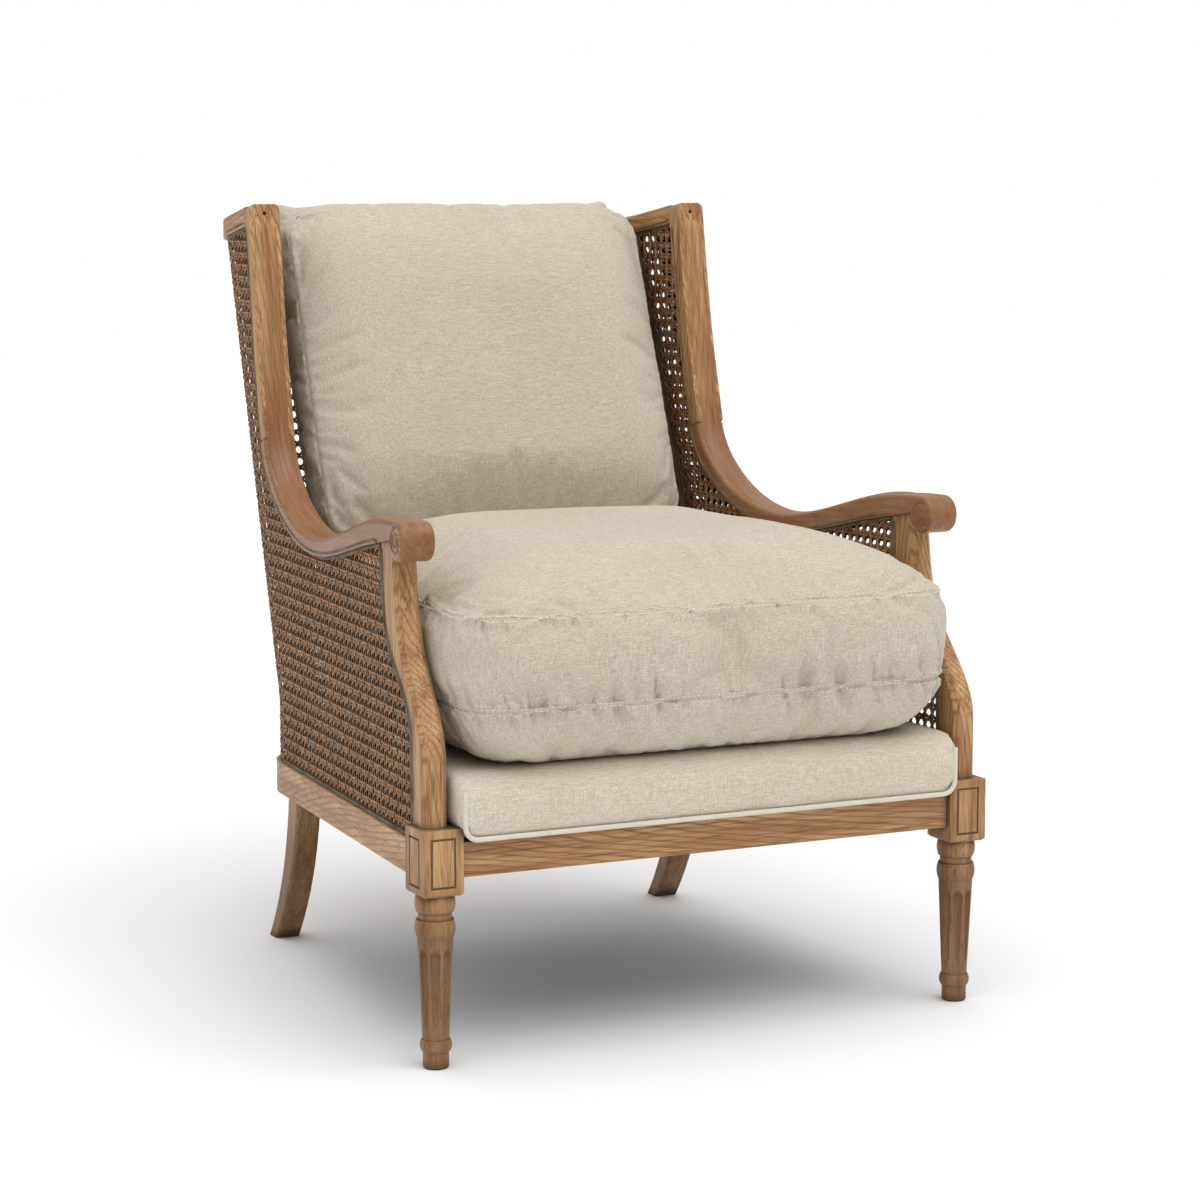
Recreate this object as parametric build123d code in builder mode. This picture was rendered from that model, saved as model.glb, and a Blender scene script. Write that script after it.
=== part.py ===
from build123d import *
import os
from math import cos, radians, sin, tan

# Wing armchair with caned sides and back, loose seat cushion and loose back cushion.
# Millimetres. The chair stands on z = 0 and faces -Y, and the plane x = 0 is its middle.
# Right and left are as seen from the front: right is +X.

# Front legs: turned and fluted below a square block
block_proud = 1.9712
leg_y = -401.0
block_width = 50.0
block_depth = 52.0
block_bottom = 203.0
block_top = 280.0
block_bevel = 3.0
collar_radius = 23.5
collar_height = 20.0
neck_radius = 19.5
neck_height = 9.0
bulb_radius = 23.5
bulb_height = 20.0
shaft_top_radius = 21.0
shaft_foot_radius = 15.5
ring_radius = 18.5
ring_height = 14.0
foot_radius = 15.0
foot_height = 20.0
foot_bevel = 2.0
flute_count = 8
flute_radius = 6.5
flute_taper = 0.74
flute_lift = 2.4
flute_margin = 8.0
flute_point = 12.0
panel_margin = 9.5
panel_groove = 2.6
panel_depth = 1.6

# Seat rails
rail_bottom = 222.0
rail_height = 40.0
rail_width = 40.0
front_rail_width = 32.0
front_rail_setback = 9.0
tenon_length = 18.0
side_tenon_length = 12.0
tenon_width = 12.0
tenon_height = 26.0
joint_gap = 0.15

# Sides stand upright and draw together towards the rear, the back is round at both corners
side_offset = 344.8
side_taper = 3.6
back_face = 234.0
corner_radius = 100.0
recline_start = 342.0
recline = 20.4

# Rear legs
rear_leg_inset = 31.972
rear_leg_y = 188.0
rear_leg_width = 34.0
rear_leg_top_depth = 38.0
rear_leg_foot_depth = 30.0
rear_leg_rake = 87.0
rear_leg_bow = 18.0
rear_leg_round = 5.0
spigot_radius = 10.0
spigot_length = 26.0

# Arms, arm posts and wings, as heights and places along the side
arm_width = 42.0
arm_proud = 1.0
arm_round = 5.0
scroll_y = -339.0
scroll_z = 598.0
scroll_radius = 23.0
arm_dip_y = -30.0
arm_dip_z = 571.0
arm_thickness = 22.0
arm_neck_y = -235.0
arm_neck_z = 613.0
arm_neck_depth = 29.0
elbow_y = 140.0
elbow_z = 616.0
elbow_thickness = 22.0
joint_y = 188.0
joint_z = 676.0
joint_fall = 8.0
stile_width = 40.0
stile_depth = 24.0
stile_round = 5.0
stile_top_round = 8.0
stile_mid_y = 218.0
stile_mid_z = 800.0
stile_top_y = 247.0
wing_top_z = 975.0
top_rail_height = 25.0
top_rail_slope = 8.5
top_rail_overhang = 4.0
top_rail_width = 40.0
top_rail_round = 4.0
post_width = 30.0
post_setback = 5.0
post_depth = 41.0
post_foot_y = -414.0
post_bend_z = 352.0
post_bend_rise = 24.0
post_waist_y = -338.0
post_waist_z = 480.0
post_waist_depth = 47.0
post_head_y = -312.0
post_head_depth = 42.0
post_head_rake = 0.15
edge_pull = (1.0, 1.0)
post_chamfer = 6.0
post_tenon_width = 14.0
post_tenon_depth = 16.0
post_tenon_length = 18.0
head_tenon_length = 9.0
loose_tenon_depth = 10.0
loose_tenon_width = 18.0
loose_tenon_length = 40.0
peg_radius = 2.5
peg_length = 46.0
peg_recess = 4.0
peg_drop = 12.0
dowel_radius = 4.0
dowel_length = 36.0
dowel_spread = 9.0

# Cane: two skins on each side and one skin round the back
cane_thickness = 2.5
cane_setback = 5.0
cane_gap = 0.2

# Hidden posts in the rear corners
back_post_width = 34.0
back_post_depth = 30.0
back_post_inset = 22.0
back_post_setback = 54.0

# Corner blocks, webbing and dust cover under the seat
corner_block_leg = 68.0
corner_block_height = 30.0
strap_width = 50.0
strap_thickness = 2.0
strap_bearing = 24.0
long_strap_count = 5
long_strap_pitch = 104.0
cross_strap_count = 4
cross_strap_pitch = 118.0
cross_strap_y = -115.0
dust_cover_thickness = 1.0
dust_cover_margin = 14.0

# Upholstered deck with its front roll and piping
soft_gap = 0.4
deck_top = 340.0
deck_front = -431.0
deck_roll = 26.0
deck_post_gap = 4.0721
deck_side_gap = 4.0
deck_rear_gap = 4.0
piping_radius = 3.0
piping_corner = 16.0
piping_rise = 56.0
piping_inset = 6.0

# Loose seat cushion
seat_front = -453.0
seat_rear = 176.0
seat_front_gap = 17.2311
seat_rear_gap = 12.6578
seat_corner = 62.0
seat_bottom_seam = 412.0
seat_top_seam = 519.0
seat_draw_in = 2.5
seat_under_inset = 66.0
under_shoulder = 0.42
under_shoulder_inset = 20.0
seat_crown = 576.0
crown_shoulder = 0.62
crown_inset = 62.0
crown_rear_inset = 66.0

# Loose back cushion, measured along the recline
back_side_gap = 35.1909
back_bottom = 503.0
back_height = 501.0
back_front_drop = 40.0
back_thickness = 98.0
back_crown = 44.0
back_corner = 46.0
back_edge_tuck = 14.0
back_rear_inset = 7.0
back_draw_in = 4.0
back_crown_inset = 52.0
back_gap = 0.6

# Worked out from the values above
taper = radians(side_taper)
lean = tan(radians(recline))
top_fall = tan(radians(top_rail_slope))
rail_top = rail_bottom + rail_height
block_front = leg_y - block_depth / 2
block_rear = leg_y + block_depth / 2
front_rail_front = block_front + front_rail_setback
front_rail_rear = front_rail_front + front_rail_width
strap_top = rail_top + strap_thickness
post_middle = post_setback + post_width / 2

side_plane = Plane(
    origin=(side_offset, 0, 0),
    x_dir=(-sin(taper), cos(taper), 0),
    z_dir=(cos(taper), sin(taper), 0),
)


def side_x(y, inset=0.0):
    """Distance from the middle plane to the side face, or to a line set in from it."""
    return side_offset - tan(taper) * y - inset / cos(taper)


def along(y):
    """Place along the side plane of a point at depth y."""
    return y / cos(taper)


def back_y(z):
    """Depth of the outer back face at height z."""
    return back_face + lean * max(0.0, z - recline_start)


def corner_centre(face_y):
    """Centre of the rear corner's arc for a back face at this depth."""
    centre_y = face_y - corner_radius
    return side_x(centre_y, corner_radius), centre_y


def corner_start(z):
    """Place along the side plane where the rear corner begins at height z."""
    centre_y = back_y(z) - corner_radius
    return along(centre_y + corner_radius * sin(taper))


def top_rail_top(y):
    """Height of the sloping top of the wing and crest rails at depth y."""
    return wing_top_z - top_fall * (y - stile_top_y)


def top_rail_under(y):
    """Height of the underside of the wing and crest rails at depth y."""
    return top_rail_top(y) - top_rail_height


def save(piece, name):
    """Label one finished piece and write its file."""
    piece.label = name
    export_step(piece, f"parts/{name}.step")


def save_pair(piece, name):
    """Write the right-hand piece and its mirror image on the left."""
    save(piece, f"{name}_right")
    save(mirror(piece, about=Plane.YZ), f"{name}_left")


leg_x = side_x(leg_y) + block_proud - block_width / 2
rear_leg_x = side_x(rear_leg_y) - rear_leg_inset - rear_leg_width / 2

os.makedirs("parts", exist_ok=True)

# Front leg: turning profile, flutes, block with carved panels, mortises for the rails
collar_bottom = block_bottom - collar_height
neck_bottom = collar_bottom - neck_height
shaft_top = neck_bottom - bulb_height
ring_top = foot_height + ring_height
flute_top = shaft_top - flute_margin
flute_bottom = ring_top + flute_margin
leg_axis = Plane((leg_x, leg_y, 0), x_dir=(1, 0, 0), z_dir=(0, -1, 0))
panel_width = block_width - 2 * panel_margin
panel_height = block_top - block_bottom - 2 * panel_margin
panel_z = (block_top + block_bottom) / 2


def shaft_radius(z):
    """Radius of the tapering shaft at height z."""
    share = (z - ring_top) / (shaft_top - ring_top)
    return shaft_foot_radius + share * (shaft_top_radius - shaft_foot_radius)


flute_low = shaft_radius(flute_bottom) + flute_lift
flute_high = shaft_radius(flute_top) + flute_lift
with BuildPart() as flute:
    with BuildSketch(Plane.XZ):
        with BuildLine():
            Polyline(
                (flute_low, flute_bottom),
                (flute_low + flute_radius * flute_taper, flute_bottom + flute_point),
                (flute_high + flute_radius, flute_top - flute_point),
                (flute_high, flute_top),
                close=True,
            )
        make_face()
    revolve(axis=Axis((flute_low, 0, flute_bottom), (flute_high - flute_low, 0, flute_top - flute_bottom)))

with BuildPart() as front_leg:
    with BuildSketch(leg_axis):
        with BuildLine():
            outline = Polyline((0, block_bottom), (0, 0), (foot_radius - foot_bevel, 0))
            Polyline(
                outline @ 1,
                (foot_radius, foot_bevel),
                (foot_radius, foot_height),
                (ring_radius - foot_bevel, foot_height),
            )
            ThreePointArc(
                (ring_radius - foot_bevel, foot_height),
                (ring_radius, foot_height + ring_height / 2),
                (ring_radius - foot_bevel, ring_top),
            )
            Polyline(
                (ring_radius - foot_bevel, ring_top),
                (shaft_foot_radius, ring_top),
                (shaft_top_radius, shaft_top),
                (bulb_radius - foot_bevel, shaft_top),
            )
            ThreePointArc(
                (bulb_radius - foot_bevel, shaft_top),
                (bulb_radius, shaft_top + bulb_height / 2),
                (bulb_radius - foot_bevel, neck_bottom),
            )
            Line((bulb_radius - foot_bevel, neck_bottom), (neck_radius, neck_bottom))
            Line((neck_radius, neck_bottom), (neck_radius, collar_bottom))
            Line((neck_radius, collar_bottom), (collar_radius - foot_bevel, collar_bottom))
            ThreePointArc(
                (collar_radius - foot_bevel, collar_bottom),
                (collar_radius, collar_bottom + collar_height / 2),
                (collar_radius - foot_bevel, block_bottom),
            )
            Line((collar_radius - foot_bevel, block_bottom), (0, block_bottom))
        make_face()
    revolve(axis=Axis((leg_x, leg_y, 0), (0, 0, 1)))
    with Locations((leg_x, leg_y, 0)):
        with PolarLocations(0, flute_count, start_angle=180 / flute_count):
            add(flute.part, mode=Mode.SUBTRACT)
    with BuildSketch(Plane.XY.offset(block_bottom)):
        with Locations((leg_x, leg_y)):
            Rectangle(block_width, block_depth)
    block = extrude(amount=block_top - block_bottom)
    chamfer(block.faces().sort_by(Axis.Z)[0].edges(), length=block_bevel)
    front_face = Plane((leg_x, block_front, panel_z), x_dir=(1, 0, 0), z_dir=(0, -1, 0))
    outer_face = Plane((leg_x + block_width / 2, leg_y, panel_z), x_dir=(0, 1, 0), z_dir=(1, 0, 0))
    for face_plane in (front_face, outer_face):
        with BuildSketch(face_plane):
            Rectangle(panel_width, panel_height)
            Rectangle(panel_width - 2 * panel_groove, panel_height - 2 * panel_groove, mode=Mode.SUBTRACT)
        extrude(amount=-panel_depth, mode=Mode.SUBTRACT)
    mortise_z = rail_bottom + rail_height / 2
    with Locations((leg_x - block_width / 2, (front_rail_front + front_rail_rear) / 2, mortise_z)):
        Box(
            2 * (tenon_length + joint_gap),
            tenon_width + 2 * joint_gap,
            tenon_height + 2 * joint_gap,
            mode=Mode.SUBTRACT,
        )
    with Locations((leg_x, block_rear, mortise_z)):
        Box(
            tenon_width + 2 * joint_gap,
            2 * (side_tenon_length + joint_gap),
            tenon_height + 2 * joint_gap,
            mode=Mode.SUBTRACT,
        )
    with BuildSketch(side_plane.offset(-post_middle)):
        with Locations((post_foot_y + post_depth / 2, block_top)):
            Rectangle(post_tenon_depth + 2 * joint_gap, 2 * (post_tenon_length + joint_gap))
    extrude(amount=post_tenon_width / 2 + joint_gap, both=True, mode=Mode.SUBTRACT)
save_pair(front_leg.part, "front_leg")

# Seat rails: tenoned into the front blocks, doweled round the rear corners
rail_middle = rail_bottom + rail_height / 2
front_rail_middle = (front_rail_front + front_rail_rear) / 2
front_shoulder = leg_x - block_width / 2 - joint_gap
seat_corner_x, seat_corner_y = corner_centre(back_face)


def corner_point(radius):
    """Point on the radial line where the side ends and the rear corner begins."""
    return seat_corner_x + radius * cos(taper), seat_corner_y + radius * sin(taper)


ring_middle = corner_radius - rail_width / 2
side_end = Plane(
    origin=(*corner_point(ring_middle), rail_middle),
    x_dir=(0, 0, 1),
    z_dir=(-sin(taper), cos(taper), 0),
)
back_end = Plane(
    origin=(seat_corner_x, back_face - rail_width / 2, rail_middle),
    x_dir=(0, 0, 1),
    z_dir=(1, 0, 0),
)


def dowel_pair(plane, gap):
    """Two dowels across a rail joint, or the space of their holes when a gap is given."""
    with BuildPart() as dowels:
        with BuildSketch(plane):
            with Locations((dowel_spread, 0), (-dowel_spread, 0)):
                Circle(dowel_radius + gap)
        extrude(amount=dowel_length / 2 + gap, both=True)
    return dowels.part


side_dowel_holes = dowel_pair(side_end, joint_gap)
back_dowel_holes = dowel_pair(back_end, joint_gap)
side_dowels = dowel_pair(side_end, 0)
back_dowels = dowel_pair(back_end, 0)

with BuildPart() as front_seat_rail:
    with Locations((0, front_rail_middle, rail_middle)):
        Box(2 * front_shoulder, front_rail_width, rail_height)
        Box(2 * (front_shoulder + tenon_length), tenon_width, tenon_height)
save(front_seat_rail.part, "front_seat_rail")

side_shoulder = block_rear + joint_gap
with BuildPart() as side_seat_rail:
    with BuildSketch(Plane.XY.offset(rail_bottom)):
        with BuildLine():
            Polyline(
                (side_x(side_shoulder), side_shoulder),
                corner_point(corner_radius),
                corner_point(corner_radius - rail_width),
                (side_x(side_shoulder, rail_width), side_shoulder),
                close=True,
            )
        make_face()
    extrude(amount=rail_height)
    with BuildSketch(Plane.XY.offset(rail_top)):
        with BuildLine():
            Polyline(
                (side_x(side_shoulder, rail_width - strap_bearing - joint_gap), side_shoulder),
                corner_point(corner_radius - rail_width + strap_bearing + joint_gap),
                corner_point(corner_radius - rail_width),
                (side_x(side_shoulder, rail_width), side_shoulder),
                close=True,
            )
        make_face()
    extrude(amount=-strap_thickness, mode=Mode.SUBTRACT)
    with Locations((leg_x, side_shoulder, rail_middle)):
        Box(tenon_width, 2 * side_tenon_length, tenon_height)
    add(side_dowel_holes, mode=Mode.SUBTRACT)
save_pair(side_seat_rail.part, "side_seat_rail")

with BuildPart() as rear_corner_rail:
    with BuildSketch(Plane.XY.offset(rail_bottom)):
        with BuildLine():
            centre = (seat_corner_x, seat_corner_y)
            outer = CenterArc(centre, corner_radius, side_taper, 90 - side_taper)
            inner = CenterArc(centre, corner_radius - rail_width, side_taper, 90 - side_taper)
            Line(outer @ 0, inner @ 0)
            Line(outer @ 1, inner @ 1)
        make_face()
    extrude(amount=rail_height)
    with BuildSketch(Plane.XY.offset(rail_bottom)):
        with Locations((rear_leg_x, rear_leg_y)):
            Circle(spigot_radius + joint_gap)
    extrude(amount=spigot_length + joint_gap, mode=Mode.SUBTRACT)
    add(side_dowel_holes, mode=Mode.SUBTRACT)
    add(back_dowel_holes, mode=Mode.SUBTRACT)
save_pair(rear_corner_rail.part, "rear_corner_rail")

with BuildPart() as rear_seat_rail:
    with Locations((0, back_face - rail_width / 2, rail_middle)):
        Box(2 * seat_corner_x, rail_width, rail_height)
    add(back_dowel_holes, mode=Mode.SUBTRACT)
    add(mirror(back_dowel_holes, about=Plane.YZ, mode=Mode.PRIVATE), mode=Mode.SUBTRACT)
save(rear_seat_rail.part, "rear_seat_rail")

with BuildPart() as rail_dowels:
    add(side_dowels)
    add(back_dowels)
    mirror(about=Plane.YZ)
save(rail_dowels.part, "rail_dowels")

# Rear leg: a sabre leg that sweeps backwards, with a round spigot up into the corner rail
leg_top_front = rear_leg_y - rear_leg_top_depth / 2
leg_top_rear = rear_leg_y + rear_leg_top_depth / 2
leg_foot_front = rear_leg_y + rear_leg_rake - rear_leg_foot_depth / 2
leg_foot_rear = rear_leg_y + rear_leg_rake + rear_leg_foot_depth / 2
with BuildPart() as rear_leg:
    with BuildSketch(Plane.YZ.offset(rear_leg_x - rear_leg_width / 2)):
        with BuildLine():
            front_curve = SagittaArc((leg_top_front, rail_bottom), (leg_foot_front, 0), -rear_leg_bow)
            rear_curve = SagittaArc((leg_top_rear, rail_bottom), (leg_foot_rear, 0), -rear_leg_bow)
            Line(front_curve @ 0, rear_curve @ 0)
            Line(front_curve @ 1, rear_curve @ 1)
        make_face()
    extrude(amount=rear_leg_width)
    fillet(rear_leg.edges().filter_by(GeomType.CIRCLE), radius=rear_leg_round)
    with BuildSketch(Plane.XY.offset(rail_bottom)):
        with Locations((rear_leg_x, rear_leg_y)):
            Circle(spigot_radius)
    extrude(amount=spigot_length)
save_pair(rear_leg.part, "rear_leg")

# Side frame outlines, drawn on the side plane: arm, wing stile and arm post share these edges
scroll_top = (scroll_y, scroll_z + scroll_radius)
scroll_rear = (scroll_y + scroll_radius, scroll_z)
arm_joint_front = (joint_y, joint_z)
arm_joint_rear = (joint_y + stile_depth, joint_z - joint_fall)
neck_under = (arm_neck_y, arm_neck_z - arm_neck_depth)
stile_top_front = (stile_top_y, wing_top_z)
stile_top_rear = (stile_top_y + stile_depth, top_rail_top(stile_top_y + stile_depth))
stile_mid_rear = (stile_mid_y + stile_depth, stile_mid_z)
wing_rake = ((stile_top_rear[0] - stile_mid_rear[0]) / (stile_top_rear[1] - stile_mid_rear[1]))
joint_direction = (stile_mid_y - joint_y, stile_mid_z - joint_z)


def under_arm(s):
    """Height of the straight underside of the arm behind the scroll."""
    share = (s - arm_neck_y) / (scroll_rear[0] - arm_neck_y)
    return neck_under[1] + share * (scroll_z - neck_under[1])


post_head_front = (post_head_y, under_arm(post_head_y))
post_head_rear = (post_head_y + post_head_depth, under_arm(post_head_y + post_head_depth))
post_foot_rear_y = post_foot_y + post_depth


def arm_upper_edge():
    """Top of the arm, from the wing joint through the dip to the top of the scroll."""
    return Spline(
        arm_joint_front,
        (elbow_y, elbow_z),
        (arm_dip_y, arm_dip_z),
        (arm_neck_y, arm_neck_z),
        scroll_top,
        tangents=[(-joint_direction[0], -joint_direction[1]), (-1, 0)],
        tangent_scalars=edge_pull,
    )


def arm_lower_edge():
    """Underside of the arm, from the wing joint to where it runs straight over the post."""
    elbow_step = elbow_thickness * sin(radians(45))
    return Spline(
        arm_joint_rear,
        (elbow_y + elbow_step, elbow_z - elbow_step),
        (arm_dip_y, arm_dip_z - arm_thickness),
        neck_under,
        tangents=[
            (-joint_direction[0], -joint_direction[1]),
            (scroll_rear[0] - arm_neck_y, scroll_z - neck_under[1]),
        ],
        tangent_scalars=edge_pull,
    )


def stile_rear_edge():
    """Curved lower stretch of the wing stile's rear edge."""
    return Spline(
        arm_joint_rear,
        stile_mid_rear,
        tangents=[joint_direction, (wing_rake, 1)],
        tangent_scalars=edge_pull,
    )


def post_rear_edge():
    """Swept rear edge of the arm post, from its upright foot to its head."""
    return Spline(
        (post_foot_rear_y, post_bend_z + post_bend_rise),
        (post_waist_y + post_waist_depth, post_waist_z),
        post_head_rear,
        tangents=[(0, 1), (post_head_rake, 1)],
        tangent_scalars=edge_pull,
    )


joint_middle = (
    (arm_joint_front[0] + arm_joint_rear[0]) / 2,
    (arm_joint_front[1] + arm_joint_rear[1]) / 2,
)
joint_turn = -Vector(0, 1, 0).get_angle(Vector(*joint_direction, 0))
arm_plane = side_plane.offset(arm_proud)
stile_plane = side_plane
head_tenon_y = post_head_y + post_head_depth / 2


def side_tenon(inset, middle, depth, length, width, turn=0.0):
    """Tenon that lies in the side frame, or the space of its mortise."""
    with BuildPart() as tenon:
        with BuildSketch(side_plane.offset(-inset)):
            with Locations(middle):
                Rectangle(depth, length, rotation=turn)
        extrude(amount=width / 2, both=True)
    return tenon.part


def loose_tenon(gap):
    """Loose tenon across the joint of arm and wing stile."""
    return side_tenon(
        stile_width / 2,
        joint_middle,
        loose_tenon_depth + 2 * gap,
        loose_tenon_length + 2 * gap,
        loose_tenon_width + 2 * gap,
        joint_turn,
    )


def head_tenon(gap):
    """Tenon of the arm post up into the arm."""
    return side_tenon(
        post_middle,
        (head_tenon_y, under_arm(head_tenon_y)),
        post_tenon_depth + 2 * gap,
        2 * (head_tenon_length + gap),
        post_tenon_width + 2 * gap,
    )


def foot_tenon(gap):
    """Tenon of the arm post down into the front block."""
    return side_tenon(
        post_middle,
        (post_foot_y + post_depth / 2, block_top),
        post_tenon_depth + 2 * gap,
        2 * (post_tenon_length + gap),
        post_tenon_width + 2 * gap,
    )


loose_mortise = loose_tenon(joint_gap)
head_mortise = head_tenon(joint_gap)
head_tenon_solid = head_tenon(0)
foot_tenon_solid = foot_tenon(0)

# Armrest: one swept piece from the wing joint to the rolled scroll
with BuildPart() as scroll:
    with BuildSketch(arm_plane):
        with Locations((scroll_y, scroll_z)):
            Circle(scroll_radius)
    extrude(amount=-arm_width)
    fillet(scroll.edges().filter_by(GeomType.CIRCLE), radius=arm_round)

with BuildPart() as armrest:
    with BuildSketch(arm_plane):
        with BuildLine():
            arm_upper_edge()
            arm_lower_edge()
            Line(arm_joint_front, arm_joint_rear)
            Polyline(neck_under, scroll_rear, (scroll_y, scroll_z), scroll_top)
        make_face()
    extrude(amount=-arm_width)
    long_edges = armrest.edges().filter_by(GeomType.BSPLINE)
    fillet(long_edges.sort_by(SortBy.LENGTH)[-2:], radius=arm_round)
    add(scroll.part)
    add(loose_mortise, mode=Mode.SUBTRACT)
    add(head_mortise, mode=Mode.SUBTRACT)
save_pair(armrest.part, "armrest")

# Arm post: swept in an S, with its front arrises chamfered
with BuildPart() as arm_post:
    with BuildSketch(side_plane.offset(-post_setback)):
        with BuildLine():
            front_edge = Spline(
                (post_foot_y, post_bend_z),
                (post_waist_y, post_waist_z),
                post_head_front,
                tangents=[(0, 1), (post_head_rake, 1)],
                tangent_scalars=edge_pull,
            )
            post_rear_edge()
            Line((post_foot_y, block_top), (post_foot_y, post_bend_z))
            Line((post_foot_y, block_top), (post_foot_rear_y, block_top))
            Line((post_foot_rear_y, block_top), (post_foot_rear_y, post_bend_z + post_bend_rise))
            Line(post_head_front, post_head_rear)
        make_face()
    extrude(amount=-post_width)
    swept_edges = arm_post.edges().filter_by(GeomType.BSPLINE).sort_by(Axis.Y)
    chamfer(swept_edges[:2], length=post_chamfer)
    add(head_tenon_solid)
    add(foot_tenon_solid)
save_pair(arm_post.part, "arm_post")

# Wing stile: rises from the arm to the sloping top rail
peg_axis = Plane(
    origin=side_plane.offset(-stile_width / 2).from_local_coords(
        (stile_top_y - wing_rake * peg_drop, wing_top_z - peg_drop, 0)
    ),
    x_dir=(0, 0, 1),
    z_dir=side_plane.x_dir,
)


def peg_space(start, length, radius):
    """Round pin through the head of the wing stile into the top rail."""
    with BuildPart() as peg:
        with BuildSketch(peg_axis.offset(start)):
            Circle(radius)
        extrude(amount=length)
    return peg.part


peg_hole = peg_space(-stile_depth, stile_depth + peg_recess + peg_length + joint_gap, peg_radius + joint_gap)
peg_solid = peg_space(peg_recess, peg_length, peg_radius)

with BuildPart() as wing_stile:
    with BuildSketch(stile_plane):
        with BuildLine():
            Spline(
                arm_joint_front,
                (stile_mid_y, stile_mid_z),
                stile_top_front,
                tangents=[joint_direction, (wing_rake, 1)],
                tangent_scalars=edge_pull,
            )
            stile_rear_edge()
            Line(stile_mid_rear, stile_top_rear)
            Line(stile_top_front, stile_top_rear)
            Line(arm_joint_front, arm_joint_rear)
        make_face()
    extrude(amount=-stile_width)
    stile_top_face = wing_stile.faces().sort_by(Axis.Z)[-1]
    fillet(stile_top_face.edges().sort_by(Axis.X)[::3], radius=stile_top_round)
    stile_front_face = wing_stile.faces().sort_by(Axis.Y)[0]
    front_rim = stile_front_face.edges().sort_by(Axis.Z)[1:]
    fillet(front_rim, radius=stile_round)
    add(loose_mortise, mode=Mode.SUBTRACT)
    add(peg_hole, mode=Mode.SUBTRACT)
save_pair(wing_stile.part, "wing_stile")

with BuildPart() as arm_loose_tenons:
    add(loose_tenon(0))
    mirror(about=Plane.YZ)
save(arm_loose_tenons.part, "arm_loose_tenons")

with BuildPart() as wing_pegs:
    add(peg_solid)
    mirror(about=Plane.YZ)
save(wing_pegs.part, "wing_pegs")

# Wing top rails turn the rear corners and meet the crest rail, all on one sloping plane
crest_under = (
    wing_top_z - top_rail_height - top_fall * (back_face - lean * recline_start - stile_top_y)
) / (1 + top_fall * lean)
crest_face = back_y(crest_under) + top_rail_overhang
crest_centre_x, crest_centre_y = corner_centre(crest_face)
crest_inner = crest_face - top_rail_width
rail_span = crest_face + top_rail_width


def slope_slab(half_width):
    """Slab between the sloping top and underside of the wing and crest rails."""
    with BuildPart() as slab:
        with BuildSketch(Plane.YZ):
            with BuildLine():
                Polyline(
                    (0, top_rail_under(0)),
                    (rail_span, top_rail_under(rail_span)),
                    (rail_span, top_rail_top(rail_span)),
                    (0, top_rail_top(0)),
                    close=True,
                )
            make_face()
        extrude(amount=half_width, both=True)
    return slab.part


top_slab = slope_slab(leg_x)
crest_end = Plane(
    origin=(crest_centre_x, crest_face - top_rail_width / 2,
            (top_rail_top(crest_inner) + top_rail_under(crest_face)) / 2),
    x_dir=(0, 1, 0),
    z_dir=(1, 0, 0),
)
crest_dowel_holes = dowel_pair(crest_end, joint_gap)
crest_dowel_pair = dowel_pair(crest_end, 0)
stile_back = Plane(
    origin=side_plane.from_local_coords((stile_mid_rear[0] + joint_gap, stile_mid_rear[1], 0)),
    x_dir=side_plane.z_dir,
    z_dir=Vector(side_plane.x_dir) - Vector(0, 0, wing_rake),
)

with BuildPart() as wing_top_rail:
    with BuildSketch(Plane.XY.offset(crest_under - top_rail_height)):
        with BuildLine():
            centre = (crest_centre_x, crest_centre_y)
            outer = CenterArc(centre, corner_radius, side_taper, 90 - side_taper)
            inner = CenterArc(centre, corner_radius - top_rail_width, side_taper, 90 - side_taper)
            Line(outer @ 1, inner @ 1)
            Line(outer @ 0, (side_x(0), 0))
            Line(inner @ 0, (side_x(0, top_rail_width), 0))
            Line((side_x(0), 0), (side_x(0, top_rail_width), 0))
        make_face()
    extrude(amount=wing_top_z)
    add(top_slab, mode=Mode.INTERSECT)
    wing_top_face = wing_top_rail.faces().filter_by(lambda face: face.normal_at().Z > 0.9)
    long_top_edges = wing_top_face.edges().filter_by(lambda edge: edge.length > top_rail_width * 1.1)
    fillet(long_top_edges, radius=top_rail_round)
    split(bisect_by=stile_back, keep=Keep.TOP)
    add(peg_hole, mode=Mode.SUBTRACT)
    add(crest_dowel_holes, mode=Mode.SUBTRACT)
save_pair(wing_top_rail.part, "wing_top_rail")

with BuildPart() as crest_rail:
    with BuildSketch(Plane.XY.offset(crest_under - top_rail_height)):
        with Locations((0, crest_face - top_rail_width / 2)):
            Rectangle(2 * crest_centre_x, top_rail_width)
    extrude(amount=wing_top_z)
    add(top_slab, mode=Mode.INTERSECT)
    crest_top_face = crest_rail.faces().sort_by(Axis.Z)[-1]
    fillet(crest_top_face.edges().sort_by(Axis.Y)[-1], radius=top_rail_round)
    add(crest_dowel_holes, mode=Mode.SUBTRACT)
    add(mirror(crest_dowel_holes, about=Plane.YZ, mode=Mode.PRIVATE), mode=Mode.SUBTRACT)
save(crest_rail.part, "crest_rail")

with BuildPart() as crest_dowels:
    add(crest_dowel_pair)
    mirror(about=Plane.YZ)
save(crest_dowels.part, "crest_dowels")

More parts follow.
